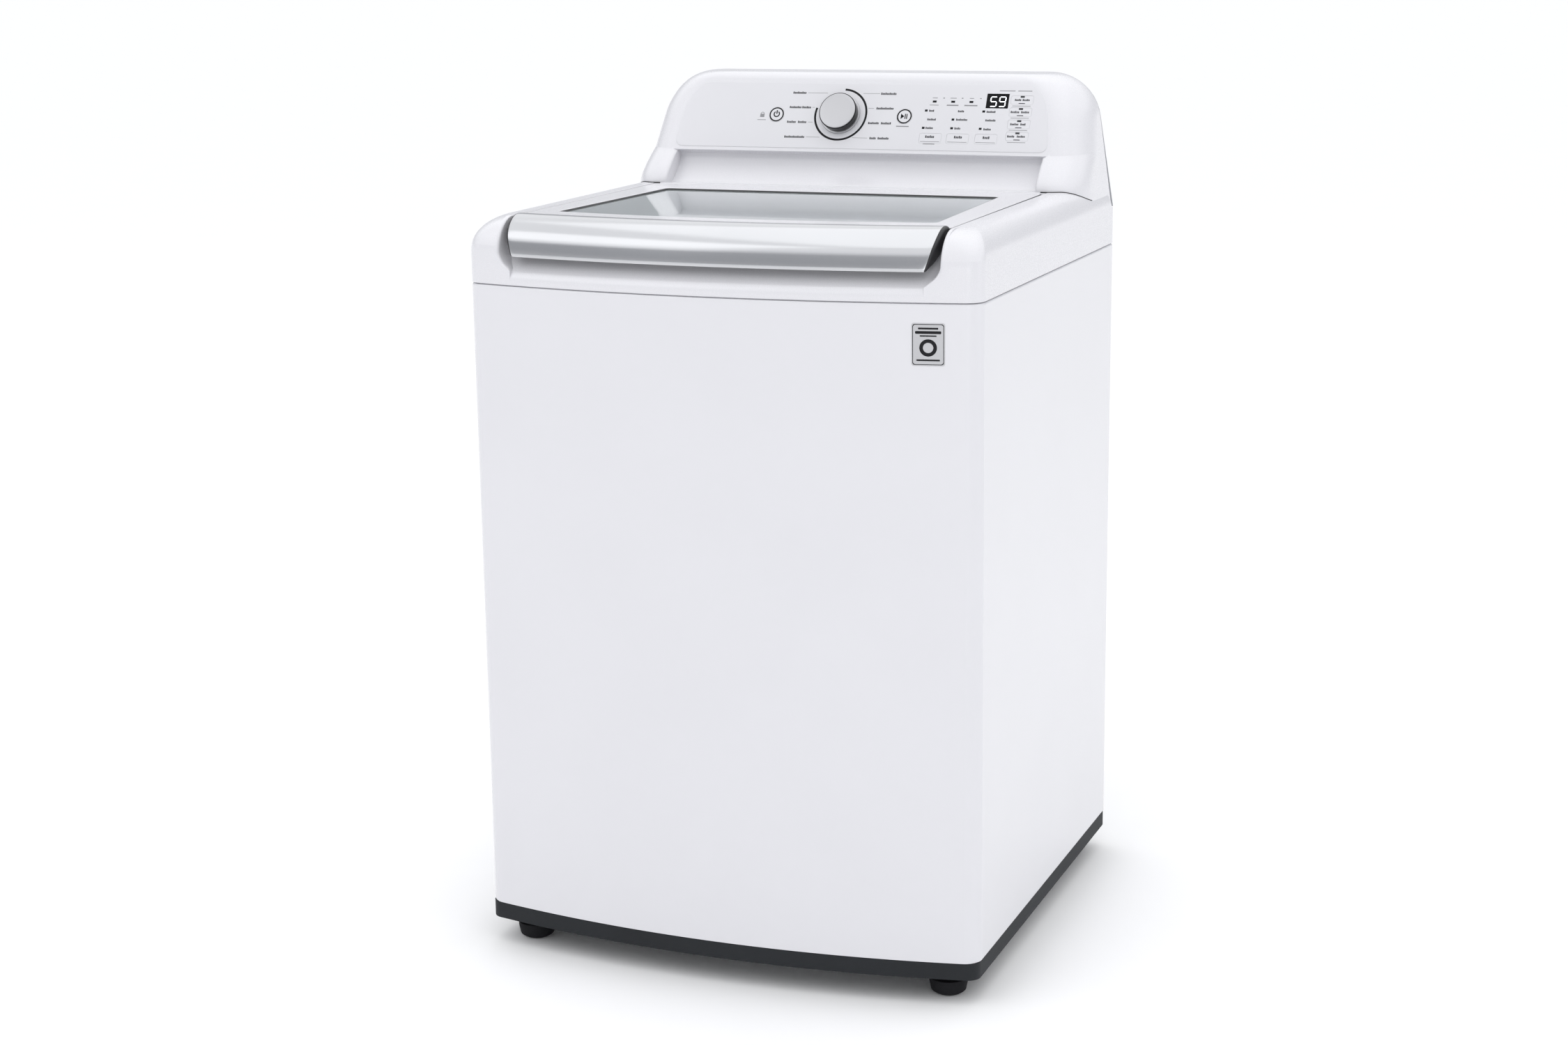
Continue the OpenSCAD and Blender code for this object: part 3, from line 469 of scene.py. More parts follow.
def make_cabinet():
    levels = [(FLANGE_W, BASE_TOP), (1.5, BASE_TOP), (0.4, BASE_TOP + 0.4), (0, BASE_TOP + 1.5),
              (0, SEAM_Z - 3), (0.3, SEAM_Z - 1.6), (1.1, SEAM_Z - 0.5), (2.6, SEAM_Z),
              (FLANGE_W, SEAM_Z)]
    rings = []
    for inset, z in levels:
        rings.append(at_z(mirrored(cabinet_outline(inset)), z))
    parts = [loft(rings, closed=False)]
    side = HALF_W - RETURN_W
    for z0, z1 in ((BASE_TOP, BASE_TOP + RAIL_H), (SEAM_Z - RAIL_H, SEAM_Z)):
        ring = [(-side, REAR_Y, z0), (side, REAR_Y, z0)]
        top = [(-side, REAR_Y, z1), (side, REAR_Y, z1)]
        parts.append(loft([ring, top], closed=False))
    add_mesh("cabinet_skin", parts, paint, "cabinet", thickness=0.8)


# ---- top cover


def cover_levels():
    """(height of the outer part, y and z of the recess part on the middle plane)."""
    levels = [(COVER_Z, FRONT_Y, COVER_Z), (POCKET_Z - 14, FRONT_Y, POCKET_Z - 14)]
    for y, z in arc(FRONT_Y + 14, POCKET_Z - 14, 14, 180, 120, 7)[1:]:
        levels.append((z, y, z))
    for z_out, y, z in ((915, -348.5, 915.4), (918, -343, 919.6), (921, -337, 924.6), (925, -331, 929.8),
                        (930, -324, 935.6), (935, -316, 941.2), (939, -308.5, 945.2),
                        (942, -303.2, 947), (943.5, -301.4, 947.5), (943.8, -301, 947.6),
                        (948, -296, 948)):
        levels.append((z_out, y, z))
    levels.append((TRAY_Z + 0.01, TRAY_REAR_Y, TRAY_Z))  # the outer part keeps rising, by a hair
    edge = 3
    shoulder_z = DECK_Z - SHOULDER_R
    for a in spread(18, 90, 14):
        z = shoulder_z + SHOULDER_R * sin_deg(a)
        over = max(0, z - (DECK_Z - edge))
        grow = edge - root(edge * edge - over * over)
        levels.append((z, TRAY_REAR_Y + grow, z))
    return levels


def recess_half_width(y, z):
    """Half width of the lid's recess, drawn in towards the bottom of the finger pocket."""
    t = (y + 306) / (TRAY_REAR_Y + 306)
    width = RECESS_HW_FRONT + (RECESS_HW_REAR - RECESS_HW_FRONT) * max(0, min(1, t))
    low = max(0, min(1, (TRAY_Z - 6 - z) / (TRAY_Z - 6 - POCKET_Z)))
    return width - 18 * low ** 1.6


def cover_ring(z_out, y_in, z_in):
    rise = max(0, z_out - (DECK_Z - SHOULDER_R))
    side = HALF_W - SHOULDER_R + root(SHOULDER_R ** 2 - rise ** 2)
    lift = max(0, z_out - (DECK_Z - NOSE_R))
    inset = NOSE_R - root(NOSE_R ** 2 - lift ** 2)
    corner = CORNER_R + 0.75 * inset

    def front(x):
        return bow_y(x, FRONT_Y) + inset

    x_edge = recess_half_width(-330, z_in)
    round_in = 5 if z_in >= POCKET_Z else 0.5
    rear_r = CORNER_R
    rear = REAR_Y - (4 if z_out > CONSOLE_BACK_Z else 0)
    half = [(20, rear, z_out), (200, rear, z_out)]
    half += at_z(arc(side - rear_r, rear - rear_r, rear_r, 90, 0, 8), z_out)
    half += [(side, y, z_out) for y in spread(240, -180, 6)]
    half += at_z(plan_corner(side, front, corner, corner, 14, x_edge + round_in), z_out)
    y_edge = half[-1][1]
    deep = 1 if z_in >= POCKET_Z else 0
    for a in spread(0, 90, 5)[1:]:
        s, c = sin_deg(a), cos_deg(a)
        half.append((x_edge + round_in - round_in * s, y_edge + deep * round_in * (1 - c), z_out))
    x_in = recess_half_width(y_in, z_in) + (y_in - TRAY_REAR_Y if y_in > TRAY_REAR_Y else 0)
    flat = y_in >= TRAY_REAR_Y
    for t in [1] + [1 - k / 16 for k in range(1, 17)]:
        x = x_in * t
        half.append((x, y_in if flat else bow_y(x, y_in), z_in))
    return mirrored(half)


def opening_loop(grow, z, stops=()):
    """Rounded loading opening, as a loop of points; stops are extra x on its rear side."""
    hw, r = OPENING_HW + grow, OPENING_R + grow
    y0, y1 = OPENING_FRONT_Y - grow, OPENING_REAR_Y + grow
    points = []
    for cx, cy, a0 in ((hw - r, y1 - r, 0), (-hw + r, y1 - r, 90),
                       (-hw + r, y0 + r, 180), (hw - r, y0 + r, 270)):
        points += at_z(arc(cx, cy, r, a0, a0 + 90, 12), z)
        if a0 == 0:
            points += [(x, y1, z) for x in sorted(stops, reverse=True)]
    return points


def filled_plate(loops):
    """Triangles over a flat outline (first loop) with holes (other loops), all as 3-D points."""
    bm = bmesh.new()
    edges = []
    for loop in loops:
        apart = [p for k, p in enumerate(loop) if (Vector(p) - Vector(loop[k - 1])).length > WELD]
        ring = [bm.verts.new(p) for p in apart]
        edges += [bm.edges.new((ring[i], ring[(i + 1) % len(ring)])) for i in range(len(ring))]
    bmesh.ops.triangle_fill(bm, use_beauty=True, edges=edges)
    bm.verts.index_update()
    verts = [tuple(v.co) for v in bm.verts]
    faces = [tuple(v.index for v in f.verts) for f in bm.faces]
    bm.free()
    return verts, faces


def make_top_cover():
    levels = cover_levels()
    rings = [cover_ring(*level) for level in levels]
    jump = next(i for i, level in enumerate(levels) if level[1] >= TRAY_REAR_Y) - 1
    n = len(rings[0])
    mid = n // 2
    reach = 16

    def over_tray(r, i):
        return r == jump and mid - reach <= i < mid + reach

    shell = loft(rings, caps=(False, True), skip=over_tray)
    tray_edge = [ring[mid - reach:mid + reach + 1] for ring in (rings[jump], rings[jump + 1])]
    tray_outline = [(x, y, TRAY_Z) for x, y, z in tray_edge[0] + tray_edge[1][::-1]]
    tray = filled_plate([tray_outline, opening_loop(4, TRAY_Z)])
    lip = [[(p[0] * 0.988, p[1] * 0.988, COVER_Z) for p in rings[0]],
           [(p[0] * 0.988, p[1] * 0.988, COVER_Z - 12) for p in rings[0]]]
    shell_lip = loft([rings[0]] + lip)
    drawer = (-168, -32)
    drawer_z = (890, 942)
    skirt_rings = [opening_loop(4, TRAY_Z, drawer)]
    skirt_rings += [opening_loop(4 - 4 * sin_deg(a),
                                 TRAY_Z - 4 + 4 * cos_deg(a), drawer)
                    for a in (30, 60, 90)]
    skirt_rings += [opening_loop(0, z, drawer) for z in (drawer_z[1], drawer_z[0], SKIRT_Z)]
    skirt_rings += [opening_loop(1.2, SKIRT_Z - 1, drawer), opening_loop(2.4, SKIRT_Z, drawer)]
    skirt_rings += [opening_loop(2.4, z, drawer) for z in (drawer_z[0], drawer_z[1], TRAY_Z - 2)]

    def at_drawer(r, i):
        return r in (4, 9) and i == 13

    skirt = loft(skirt_rings, skip=at_drawer)
    wall = [[(x, OPENING_REAR_Y + g, z) for x in drawer for z in drawer_z] for g in (0, 2.4)]
    order = (0, 1, 3, 2)
    rim = loft([[w[k] for k in order] for w in wall])
    add_mesh("top_cover_shell", [shell, shell_lip, tray, skirt, rim], moulding,
             "top_cover", 42)


# ---- console


def console_side_x(z):
    """Half width of the console at a height, from its side profile."""
    top_r, top_x = 70, 252
    top_z = TOTAL_H - top_r
    join = math.radians(8)
    join_x, join_z = top_x + top_r * math.cos(join), top_z + top_r * math.sin(join)
    if z < join_z:
        return HALF_W - 2 + (join_x - HALF_W + 2) * (z - CONSOLE_BOTTOM_Z) / (join_z - CONSOLE_BOTTOM_Z)
    return top_x + root(top_r ** 2 - (z - top_z) ** 2)


def console_levels():
    """(y, z) of the outer front and (y, z) of the middle part, which dips into the cove."""
    up_y, up_z = math.sin(LEAN), math.cos(LEAN)
    levels = [((153, 930), (166, 930)), ((153, 943.6), (166, 940)), ((153, 943.9), (166, 941)),
              ((153, 960), (166, 955)), ((153, 972), (167, 970)),
              ((153.6, 979), (172, 977)), ((155, 984), (178, 980.5)), ((158, 989), (185, 985)),
              ((163, 995), (194, 992)), ((168, 1000), (201, 999)), ((174, 1005.5), (206, 1006)),
              ((180, 1010.5), (208.5, 1012)), ((184.5, 1014.2), (207.5, 1017)),
              ((188, 1016.8), (203, 1020)), ((190.5, 1018.8), (197, 1021))]
    top_r = 20
    v_top = (TOTAL_H - LIP_Z - top_r * (1 - up_y)) / up_z
    for v in (1, 2.5, 4.5, 8, 14, 30, 54, 62, 70, 78, 86, 93, 99, 104, 107, v_top):
        levels.append(((LIP_Y + v * up_y, LIP_Z + v * up_z),) * 2)
    middle_y = LIP_Y + v_top * up_y + top_r * up_z
    for y, z in arc(middle_y, TOTAL_H - top_r, top_r, 180 - math.degrees(LEAN), 90, 8)[1:]:
        levels.append(((y, z),) * 2)
    return levels


CONSOLE_CORNER = 12


def console_ring(outer, middle):
    """Ring of the console's skin; its front dips into the cove where middle lies behind outer."""
    (y_out, z_out), (y_mid, z_mid) = outer, middle
    side = console_side_x(z_out)
    r_x, rear_r, ease = CONSOLE_RX, 10, 5
    r_y = min(CONSOLE_RY, REAR_Y - y_out - rear_r - 4)
    in_cove = y_mid > y_out + 0.1
    stop = COVE_HW + ease if in_cove else side - r_x
    rear = REAR_Y - (4.4 if z_out < CONSOLE_BACK_Z else 0)
    half = [(60, rear, z_out), (180, rear, z_out)]
    half += at_z(arc(side - rear_r, rear - rear_r, rear_r, 90, 0, 6), z_out)
    half += [(side, y, z_out) for y in spread(REAR_Y - rear_r - 1, y_out + r_y + 1, 3)]
    half += at_z(plan_corner(side, lambda x: y_out, r_x, r_y, CONSOLE_CORNER, stop), z_out)
    y_edge = half[-1][1]
    deep = min(ease, 0.6 * (y_mid - y_out))
    for a in spread(0, 90, 4)[1:]:
        s, c = sin_deg(a), cos_deg(a)
        half.append((stop - ease * s, y_edge + deep * (1 - c), z_out))
    half += [((stop - ease) * t, y_mid, z_mid) for t in spread(1, 0, 8)]
    return mirrored(half)


def make_console_shade_line():
    """Dark strip where the console stands on the top cover: painted shade standing in for the shadow of the
    gap between them.
    """
    side_r = CONSOLE_RX
    centre = HALF_W - SHOULDER_R

    def cover_z_at(x):
        if x <= centre:
            return DECK_Z
        return DECK_Z - SHOULDER_R + root(SHOULDER_R ** 2 - (x - centre) ** 2)

    path = []
    for a in spread(90, 8, 30):
        z = DECK_Z
        for _ in range(12):
            side = console_side_x(z)
            x = side - side_r + side_r * cos_deg(a)
            z = cover_z_at(x)
        y = CONSOLE_FRONT_Y + CONSOLE_RY * (1 - sin_deg(a))
        path.append(Vector((x, y, z)))
    path = [Vector((281, CONSOLE_FRONT_Y, DECK_Z))] + path
    thick = 0.95
    parts = []
    for sx in (1, -1):
        rings = []
        for p in path:
            rings.append([(sx * p.x, p.y - thick, p.z - thick), (sx * p.x, p.y - thick, p.z + thick),
                          (sx * p.x, p.y + thick, p.z + thick), (sx * p.x, p.y + thick, p.z - thick)])
        parts.append(solid(rings))
    add_mesh("console_shade_line", parts, hose, "control_panel", slot="black_plastic")


def fillet(points, r, n=6):
    """A closed outline of (x, y) with every corner rounded."""
    rounded = []
    for k, p in enumerate(points):
        corner = Vector(p)
        before = (Vector(points[k - 1]) - corner).normalized()
        after = (Vector(points[(k + 1) % len(points)]) - corner).normalized()
        half = before.angle(after) / 2
        if half > math.radians(80):
            rounded.append(tuple(p))
            continue
        back = r / math.tan(half)
        a, b = corner + before * back, corner + after * back
        for t in spread(0, 1, n):
            q = a.lerp(corner, t).lerp(corner.lerp(b, t), t)
            rounded.append(tuple(q))
    return rounded


def rounded_box(cx, cy, w, h, r, n=5):
    """Loop of (x, v) round a rectangle with round corners."""
    points = []
    for sx, sy, a0 in ((1, 1, 0), (-1, 1, 90), (-1, -1, 180), (1, -1, 270)):
        points += arc(cx + sx * (w / 2 - r), cy + sy * (h / 2 - r), r, a0, a0 + 90, n)
    return points


OPTION_KEYS = {"temp_key": 107, "spin_key": 146.5, "soil_key": 187.5}
SIDE_KEYS = {"side_key_1": 83, "side_key_2": 65, "side_key_3": 47, "side_key_4": 29}
ROUND_KEYS = {"power_key": -127, "start_key": 64.5}
OPTION_V, SIDE_X, ROUND_V, ROUND_R = 24, 231.5, 56, 11.4
KNOB_X, KNOB_V = -30.5, 57
DISPLAY = (196.5, 81, 32, 22)
KEY_W, OPTION_H, SIDE_H = 32, 15, 13
GAP = 0.14
FILM_T = 0.8


# (x, v, height) of each film key
FILM_KEYS = {name: (x, OPTION_V, OPTION_H) for name, x in OPTION_KEYS.items()}
FILM_KEYS.update((name, (SIDE_X, v, SIDE_H)) for name, v in SIDE_KEYS.items())


def panel_holes():
    """Loops of (x, v) of every hole through the panel."""
    holes = [arc(KNOB_X, KNOB_V, 5, 0, 350, 35)]
    holes += [arc(x, ROUND_V, ROUND_R + GAP, 0, 352, 44) for x in ROUND_KEYS.values()]
    holes += [rounded_box(x, v, KEY_W + 2 * GAP, h + 2 * GAP, 2.8) for x, v, h in FILM_KEYS.values()]
    holes.append(rounded_box(*DISPLAY, 0.6, 2))
    return holes


def make_console():
    levels = console_levels()
    rings = [console_ring(*level) for level in levels]
    n = len(rings[0])
    corner_end = 2 + 7 + 4 + CONSOLE_CORNER
    first = next(i for i, level in enumerate(levels) if level[0] == level[1])
    last = len(levels) - 9

    def on_flat(r, i):
        return first <= r < last and corner_end <= i < n - 1 - corner_end

    shell = loft(rings, caps=(False, True), skip=on_flat)
    right = [rings[r][corner_end] for r in range(first, last + 1)]
    left = [rings[r][n - 1 - corner_end] for r in range(first, last + 1)]
    bottom = rings[first][corner_end + 1:n - 1 - corner_end]
    top = rings[last][corner_end + 1:n - 1 - corner_end]
    outline = right + top + list(reversed(left)) + list(reversed(bottom))
    holes = [panel_loop(loop, 0) for loop in panel_holes()]
    plate = filled_plate([outline] + holes)
    add_mesh("console_shell", [shell, plate], moulding, "control_panel", 42, thickness=2.4)


def film_outline(inset):
    """The film keeps a little inside the flat of the panel, which narrows towards the top."""
    right = [(console_side_x(LIP_Z + v * math.cos(LEAN)) - 50 - inset, v)
             for v in (6 + inset, 30, 50, 66, 80, 92, 105 - inset)]
    return fillet(right + [(-x, v) for x, v in reversed(right)], 12, 8)


def make_overlay():
    """Printed film over the panel, with the keys' windows punched out."""
    low = [panel_loop(loop, 0.02) for loop in [film_outline(0)] + panel_holes()]
    high = [panel_loop(loop, FILM_T) for loop in [film_outline(0.6)] + panel_holes()]
    edge = panel_loop(film_outline(0), 0.5)
    sides = [loft([low[0], edge, high[0]])] + [loft([a, b]) for a, b in zip(low[1:], high[1:])]
    add_mesh("panel_overlay_film", [filled_plate(low), filled_plate(high)] + sides, film, "panel_overlay")


def slab(points, w0, w1):
    """Flat piece on the panel with (x, v) points for its outline, from w0 to w1."""
    return solid([panel_loop(points, w) for w in (w0, w1)])


def panel_cap(loop_at, levels):
    """Raised cap on the panel: loop_at(inset) gives its outline, levels are (inset, w)."""
    return solid([panel_loop(loop_at(inset), w) for inset, w in levels])


def make_keys():
    for name, (x, v, h) in FILM_KEYS.items():
        cap = panel_cap(lambda d: rounded_box(x, v, KEY_W - 2 * d, h - 2 * d, 2.6 - d / 2),
                        ((0, -4), (0, 0.55), (0.25, 0.8)))
        add_mesh(name + "_cap", cap, key_film, name)
    for name, x in ROUND_KEYS.items():
        cap = panel_cap(lambda d: arc(x, ROUND_V, ROUND_R - d, 0, 354, 59),
                        ((0, -4), (0, 0.7), (0.2, 1.05), (0.6, 1.2), (3, 1.15), (8, 1)))
        add_mesh(name + "_cap", cap, key_film, name)


def panel_lathe(profile, x, v, n=96):
    rings = []
    for k in range(n + 1):
        a = 2 * math.pi * k / n
        rings.append([on_panel(x + r * math.cos(a), v + r * math.sin(a), w) for r, w in profile])
    return loft(rings, closed=False)


# (name, material, steps round, sharp angle, profile of radius and w) of the knob's parts
KNOB_PARTS = (
    ("body", knob_side_shade, 96, 50, [(0, 14), (26, 14), (26.35, 15.9), (26.9, 15.75), (27.25, 15.2),
                                 (27.3, 14.2), (26.3, 4), (26.2, 1.7), (0, 1.7)]),
    ("skirt", knob_face, 96, 50, [(0, 1.65), (29, 1.65), (29, 3.1), (28.7, 3.6), (28.2, 3.9),
                                  (26.4, 4.1), (0, 4.1)]),
    ("face", knob_face, 96, 50, [(0, 16.95), (10, 16.9), (18, 16.75), (22, 16.6), (25.3, 16.3),
                                 (26, 16), (26.15, 15.5), (26.15, 14.1), (0, 14.1)]),
    ("shaft", shaft_steel, 32, 40, [(0, -9), (3, -9), (3, 2), (0, 2)]),
)


def make_knob():
    for part, material, n, sharp, profile in KNOB_PARTS:
        add_mesh("cycle_knob_" + part, panel_lathe(profile, KNOB_X, KNOB_V, n), material, "cycle_knob",
                 sharp, extra=part != "body")


def make_display():
    x, v, w, h = DISPLAY
    cap = panel_cap(lambda d: rounded_box(x, v, w - 0.2 - 2 * d, h - 0.2 - 2 * d, 0.6, 2),
                    ((0, -3), (0, 0.75), (0.25, 0.98)))
    add_mesh("display_pane", cap, black_gloss, "display_window")
    segments = {"5": "afgcd", "9": "abcdfg"}
    place = {"a": (0, 2, 1, 0), "g": (0, 1, 1, 0), "d": (0, 0, 1, 0), "f": (0, 1, 0, 1),
             "b": (1, 1, 0, 1), "c": (1, 0, 0, 1)}
    parts = []
    wide, tall, thick, slope = 8.6, 7.05, 1.45, 0.05
    for k, number in enumerate("59"):
        x0, v0 = x - 10.3 + k * 12.7, v - 8.1
        for s in segments[number]:
            px, pv, dx, dv = place[s]
            a = Vector((x0 + px * wide, v0 + pv * tall))
            b = a + Vector((dx * wide, dv * tall))
            along = (b - a).normalized()
            across = Vector((-along.y, along.x)) * thick / 2
            a, b = a + along * 0.35, b - along * 0.35
            bevel = along * thick / 2
            outline = [a, a + bevel + across, b - bevel + across, b, b - bevel - across, a + bevel - across]
            outline = [(p.x + slope * (p.y - v0), p.y) for p in outline]
            parts.append(slab(outline, 0.95, 1.02))
    add_mesh("display_digits", parts, digit, "display_window", extra=True)


# ---- print on the panel

PRINT_W = 0.84
KEY_PRINT_W = 0.82
ROUND_PRINT_W = 1.16
RING_W = 1.24
INK_T = 0.03


def stroke(x0, x1, v0, v1, w=PRINT_W):
    """Printed rectangle on the panel, a hair thick."""
    return slab([(x0, v0), (x1, v0), (x1, v1), (x0, v1)], w - INK_T, w)


def bar(x, v, width, height=2, w=PRINT_W):
    return stroke(x - width / 2, x + width / 2, v - height / 2, v + height / 2, w)


def words(x0, x1, v, height=3.4, w=PRINT_W):
    """A label as a row of plain blocks from x0 to x1, with no lettering."""
    count = max(1, round((x1 - x0) / (0.62 * height)))
    pitch = (x1 - x0) / count
    return [stroke(x0 + k * pitch, x0 + (k + 0.78) * pitch, v - height / 2,
                   v + height * (0.3 if k % 3 else 0.5), w) for k in range(count)]


def arc_band(x, v, r, thick, a0, a1, n=60, w=PRINT_W):
    """Printed arc from angle a0 to a1."""
    inner = arc(x, v, r - thick / 2, a0, a1, n)
    outer = arc(x, v, r + thick / 2, a0, a1, n)
    rings = []
    for (xi, vi), (xo, vo) in zip(inner, outer):
        rings.append([on_panel(xi, vi, w - INK_T), on_panel(xo, vo, w - INK_T),
                      on_panel(xo, vo, w), on_panel(xi, vi, w)])
    return solid(rings)


def key_ring(x):
    """Printed ring on a round key."""
    return arc_band(x, ROUND_V, 9.9, 1.9, 0, 360, w=RING_W)


# (v, spans of the cycle names, spans of their leader lines)
CYCLES = (
    (89.8, ((-107, -87), (25, 48)), ((-84.5, -55), (-1.5, 23.5))),
    (67.6, ((-109, -91), (-90, -76.5), (21.5, 47)), ((-74.5, -71), (9.5, 17.5))),
    (45.2, ((-109.5, -96), (-93, -80), (12.5, 28.5), (31.5, 46.5)), ((-77.5, -71),)),
    (22.6, ((-110, -79.5), (18, 27.5), (30, 46.5)), ((-77, -57), (-8, 14.5))),
)
# for each option column: (x0, x1, v) of its words, then (x, v) of its lamps
OPTIONS = (
    (((99.4, 107, 65.2), (98.8, 111.5, 52.2), (98, 109, 39.4)), ((95.2, 65.4), (94.6, 39.4))),
    (((141.5, 150.6, 65), (140.6, 157, 52.5), (140, 148.8, 39.4)), ((136, 52.5), (136, 39.5))),
    (((183, 196, 64.8), (183, 197.8, 52.1), (182, 193, 38.8)), ((178.7, 65.2), (177.3, 39.4))),
)
OPTION_NAMES = {"temp_key": (99.5, 112.8), "spin_key": (141.3, 153.2), "soil_key": (182.8, 193)}
SIDE_NAMES = (((221, 230.5), (232, 242.5)), ((217.5, 230), (232.3, 244)), ((219.4, 231.3), (233.8, 241.5)),
              ((217.5, 228), (231.3, 243)))


def make_print():
    dark = [arc_band(KNOB_X, KNOB_V + 0.3, 38, 3, 88, -195, 120)]
    grey, faint = [], []
    for v, names, leaders in CYCLES:
        for x0, x1 in names:
            grey += words(x0, x1, v)
        faint += [stroke(x0, x1, v - 0.3, v + 0.3) for x0, x1 in leaders]
    lock_x, lock_v = -148.8, 54.2
    faint += [bar(lock_x, lock_v, 6.4, 5), arc_band(lock_x, lock_v + 2.6, 2.4, 0.9, 0, 180, 16),
              bar(lock_x, 47.6, 13, 0.9), stroke(54.5, 73, 40.3, 41.9)]
    for x, above, below, height in ((105.5, 7, 13, 0.9), (132.4, 9, 17, 1.8), (158.9, 6, 19, 1.8)):
        dark.append(bar(x, 79.1, 5.6, 3.2))
        faint += [bar(x, 84.4, above, 1), bar(x, 73.7, below, height), bar(x + 13, 84.4, 2.4, 1.4)]
    for names, lamps in OPTIONS:
        for x0, x1, v in names:
            grey += words(x0, x1, v, 3.1)
        dark += [bar(x, v, 4, 3.2) for x, v in lamps]
    faint += [stroke(97.5, 114.4, 14.9, 16.1), stroke(197.5, 220, 95.7, 96.9), stroke(224, 244, 95.7, 96.9)]
    faint += [bar(SIDE_X, v - 8.9, 26, 0.8) for v in SIDE_KEYS.values()]
    add_mesh("panel_print_dark", dark, ink, "panel_overlay", extra=True)
    add_mesh("panel_print_grey", grey, pale_ink, "panel_overlay", extra=True)
    add_mesh("panel_print_faint", faint, faint_ink, "panel_overlay", extra=True)
    for name, (x0, x1) in OPTION_NAMES.items():
        parts = words(x0, x1, OPTION_V + 2.4, 3.8, KEY_PRINT_W)
        parts.append(bar(OPTION_KEYS[name], OPTION_V - 5, 28, 0.5, KEY_PRINT_W))
        add_mesh(name + "_print", parts, pale_ink, name, extra=True)
    for (name, v), names in zip(SIDE_KEYS.items(), SIDE_NAMES):
        parts = [bar(SIDE_X, v + 4.7, 6, 2.8, KEY_PRINT_W), bar(SIDE_X, v - 5.1, 9, 1.2, KEY_PRINT_W)]
        for x0, x1 in names:
            parts += words(x0, x1, v, 3.2, KEY_PRINT_W)
        add_mesh(name + "_print", parts, pale_ink, name, extra=True)
    x, w = ROUND_KEYS["power_key"], ROUND_PRINT_W
    power = [arc_band(x, ROUND_V + 0.6, 4, 1.7, 125, 415, 40, w),
             stroke(x - 0.9, x + 0.9, ROUND_V + 1, ROUND_V + 6.4, w), key_ring(x)]
    add_mesh("power_key_print", power, ink, "power_key", extra=True)
    x = ROUND_KEYS["start_key"]
    start = [slab([(x - 5.2, ROUND_V - 4), (x - 0.2, ROUND_V), (x - 5.2, ROUND_V + 4)], w - INK_T, w)]
    start += [stroke(x + a, x + a + 1.4, ROUND_V - 3.8, ROUND_V + 3.8, w) for a in (0.5, 2.9)]
    add_mesh("start_key_print", start + [key_ring(x)], ink, "start_key", extra=True)


# ---- lid

HANDLE_BACK = -306


def lid_loop(hw_front, hw_rear, y_front, y_rear, r, z, n_front=24):
    """Loop with a bowed front edge and round corners; y_front is on the middle plane."""
    half = [(0, y_rear, z), (hw_rear * 0.5, y_rear, z)]
    half += at_z(arc(hw_rear - r, y_rear - r, r, 90, 0, 6), z)
    corner_y = bow_y(hw_front - r, y_front) + r
    for t in spread(0, 1, 6)[1:-1]:
        half.append((hw_rear + (hw_front - hw_rear) * t, y_rear - r + (corner_y - y_rear + r) * t, z))
    half += at_z(arc(hw_front - r, corner_y, r, 0, -90, 6), z)
    for x in spread(hw_front - r, 0, n_front)[1:]:
        half.append((x, bow_y(x, y_front), z))
    return half + [(-p[0],) + p[1:] for p in reversed(half[1:-1])]


def frame_loop(inset, z, r=8):
    return lid_loop(LID_HW_FRONT - inset, LID_HW_REAR - inset, HANDLE_BACK + 0.3 + inset,
                    LID_REAR_Y - inset, max(r - inset, 1.5), z)


def glass_loop(grow, z):
    return lid_loop(GLASS_HW_FRONT + grow, GLASS_HW_REAR + grow, GLASS_FRONT_Y - grow,
                    GLASS_REAR_Y + grow, max(5 + grow, 0.8), z)


GLASS_TOP = DECK_Z - 2.6


def make_lid():
    under = frame_lo.z
    top = DECK_Z
    rings = [frame_loop(d, z) for d, z in (
        (2, under), (0.6, under + 0.6), (0, under + 2), (0, top - 3), (0.4, top - 1.5), (1.2, top - 0.5),
        (2.8, top))]
    rings += [glass_loop(d, z) for d, z in (
        (4.2, top), (3.4, top - 0.2), (2.8, top - 0.8), (2.6, GLASS_TOP - 4.2), (-12, GLASS_TOP - 4.2),
        (-13, GLASS_TOP - 5.2), (-13, under + 1), (-12, under))]
    add_mesh("lid_frame_shell", tube(rings), moulding, "lid_frame", 42)
    pane = [glass_loop(d, GLASS_TOP + z) for d, z in ((-0.5, -4), (0, -3.5), (0, -0.5), (-0.5, 0))]
    add_mesh("lid_glass_pane", solid(pane), glass, "lid_glass")
    # Black ring round the edge of the glass pane, just inside the frame.
    glass_rim = [glass_loop(d, GLASS_TOP + z) for d, z in (
        (0.05, -3), (0.05, 0.4), (0.6, 1.2), (1.6, 1.9), (2.4, 2), (2.55, -3))]
    add_mesh("lid_glass_dark_rim", tube(glass_rim), black_plastic, "lid_frame", slot="black_plastic")
    # Dark rubber ring in the gap round the lid frame: painted shade standing in for the shadow in that gap.
    dark_ring = [frame_loop(d, top + z) for d, z in (
        (0.5, -4.4), (-0.7, -4), (-0.7, -1.5), (-0.2, -1), (1.3, -0.9))]
    add_mesh("lid_edge_shade_line", tube(dark_ring), hose, "lid_frame", slot="black_plastic")
    screws, bumpers = [], []
    for sx in (-1, 1):
        for x, y in ((272, -180), (268, -60), (263, 60), (120, 115)):
            head = [(0, under - 0.6), (3.2, under - 0.6), (3.8, under - 0.2), (3.8, under + 1)]
            screws.append(lathe(head, (sx * x, y), 20))
        bumpers.append(lathe([(0, under - 7), (4, under - 7), (5.4, under - 6), (6, under - 4.5),
                              (6.4, under + 1)], (sx * 274, -240 if sx < 0 else -246), 28))
    add_mesh("lid_screws", screws, shaft_steel, "lid_frame", slot="shaft_steel")
    add_mesh("lid_bumpers", bumpers, rubber, "lid_frame", 40, slot="foot_rubber")


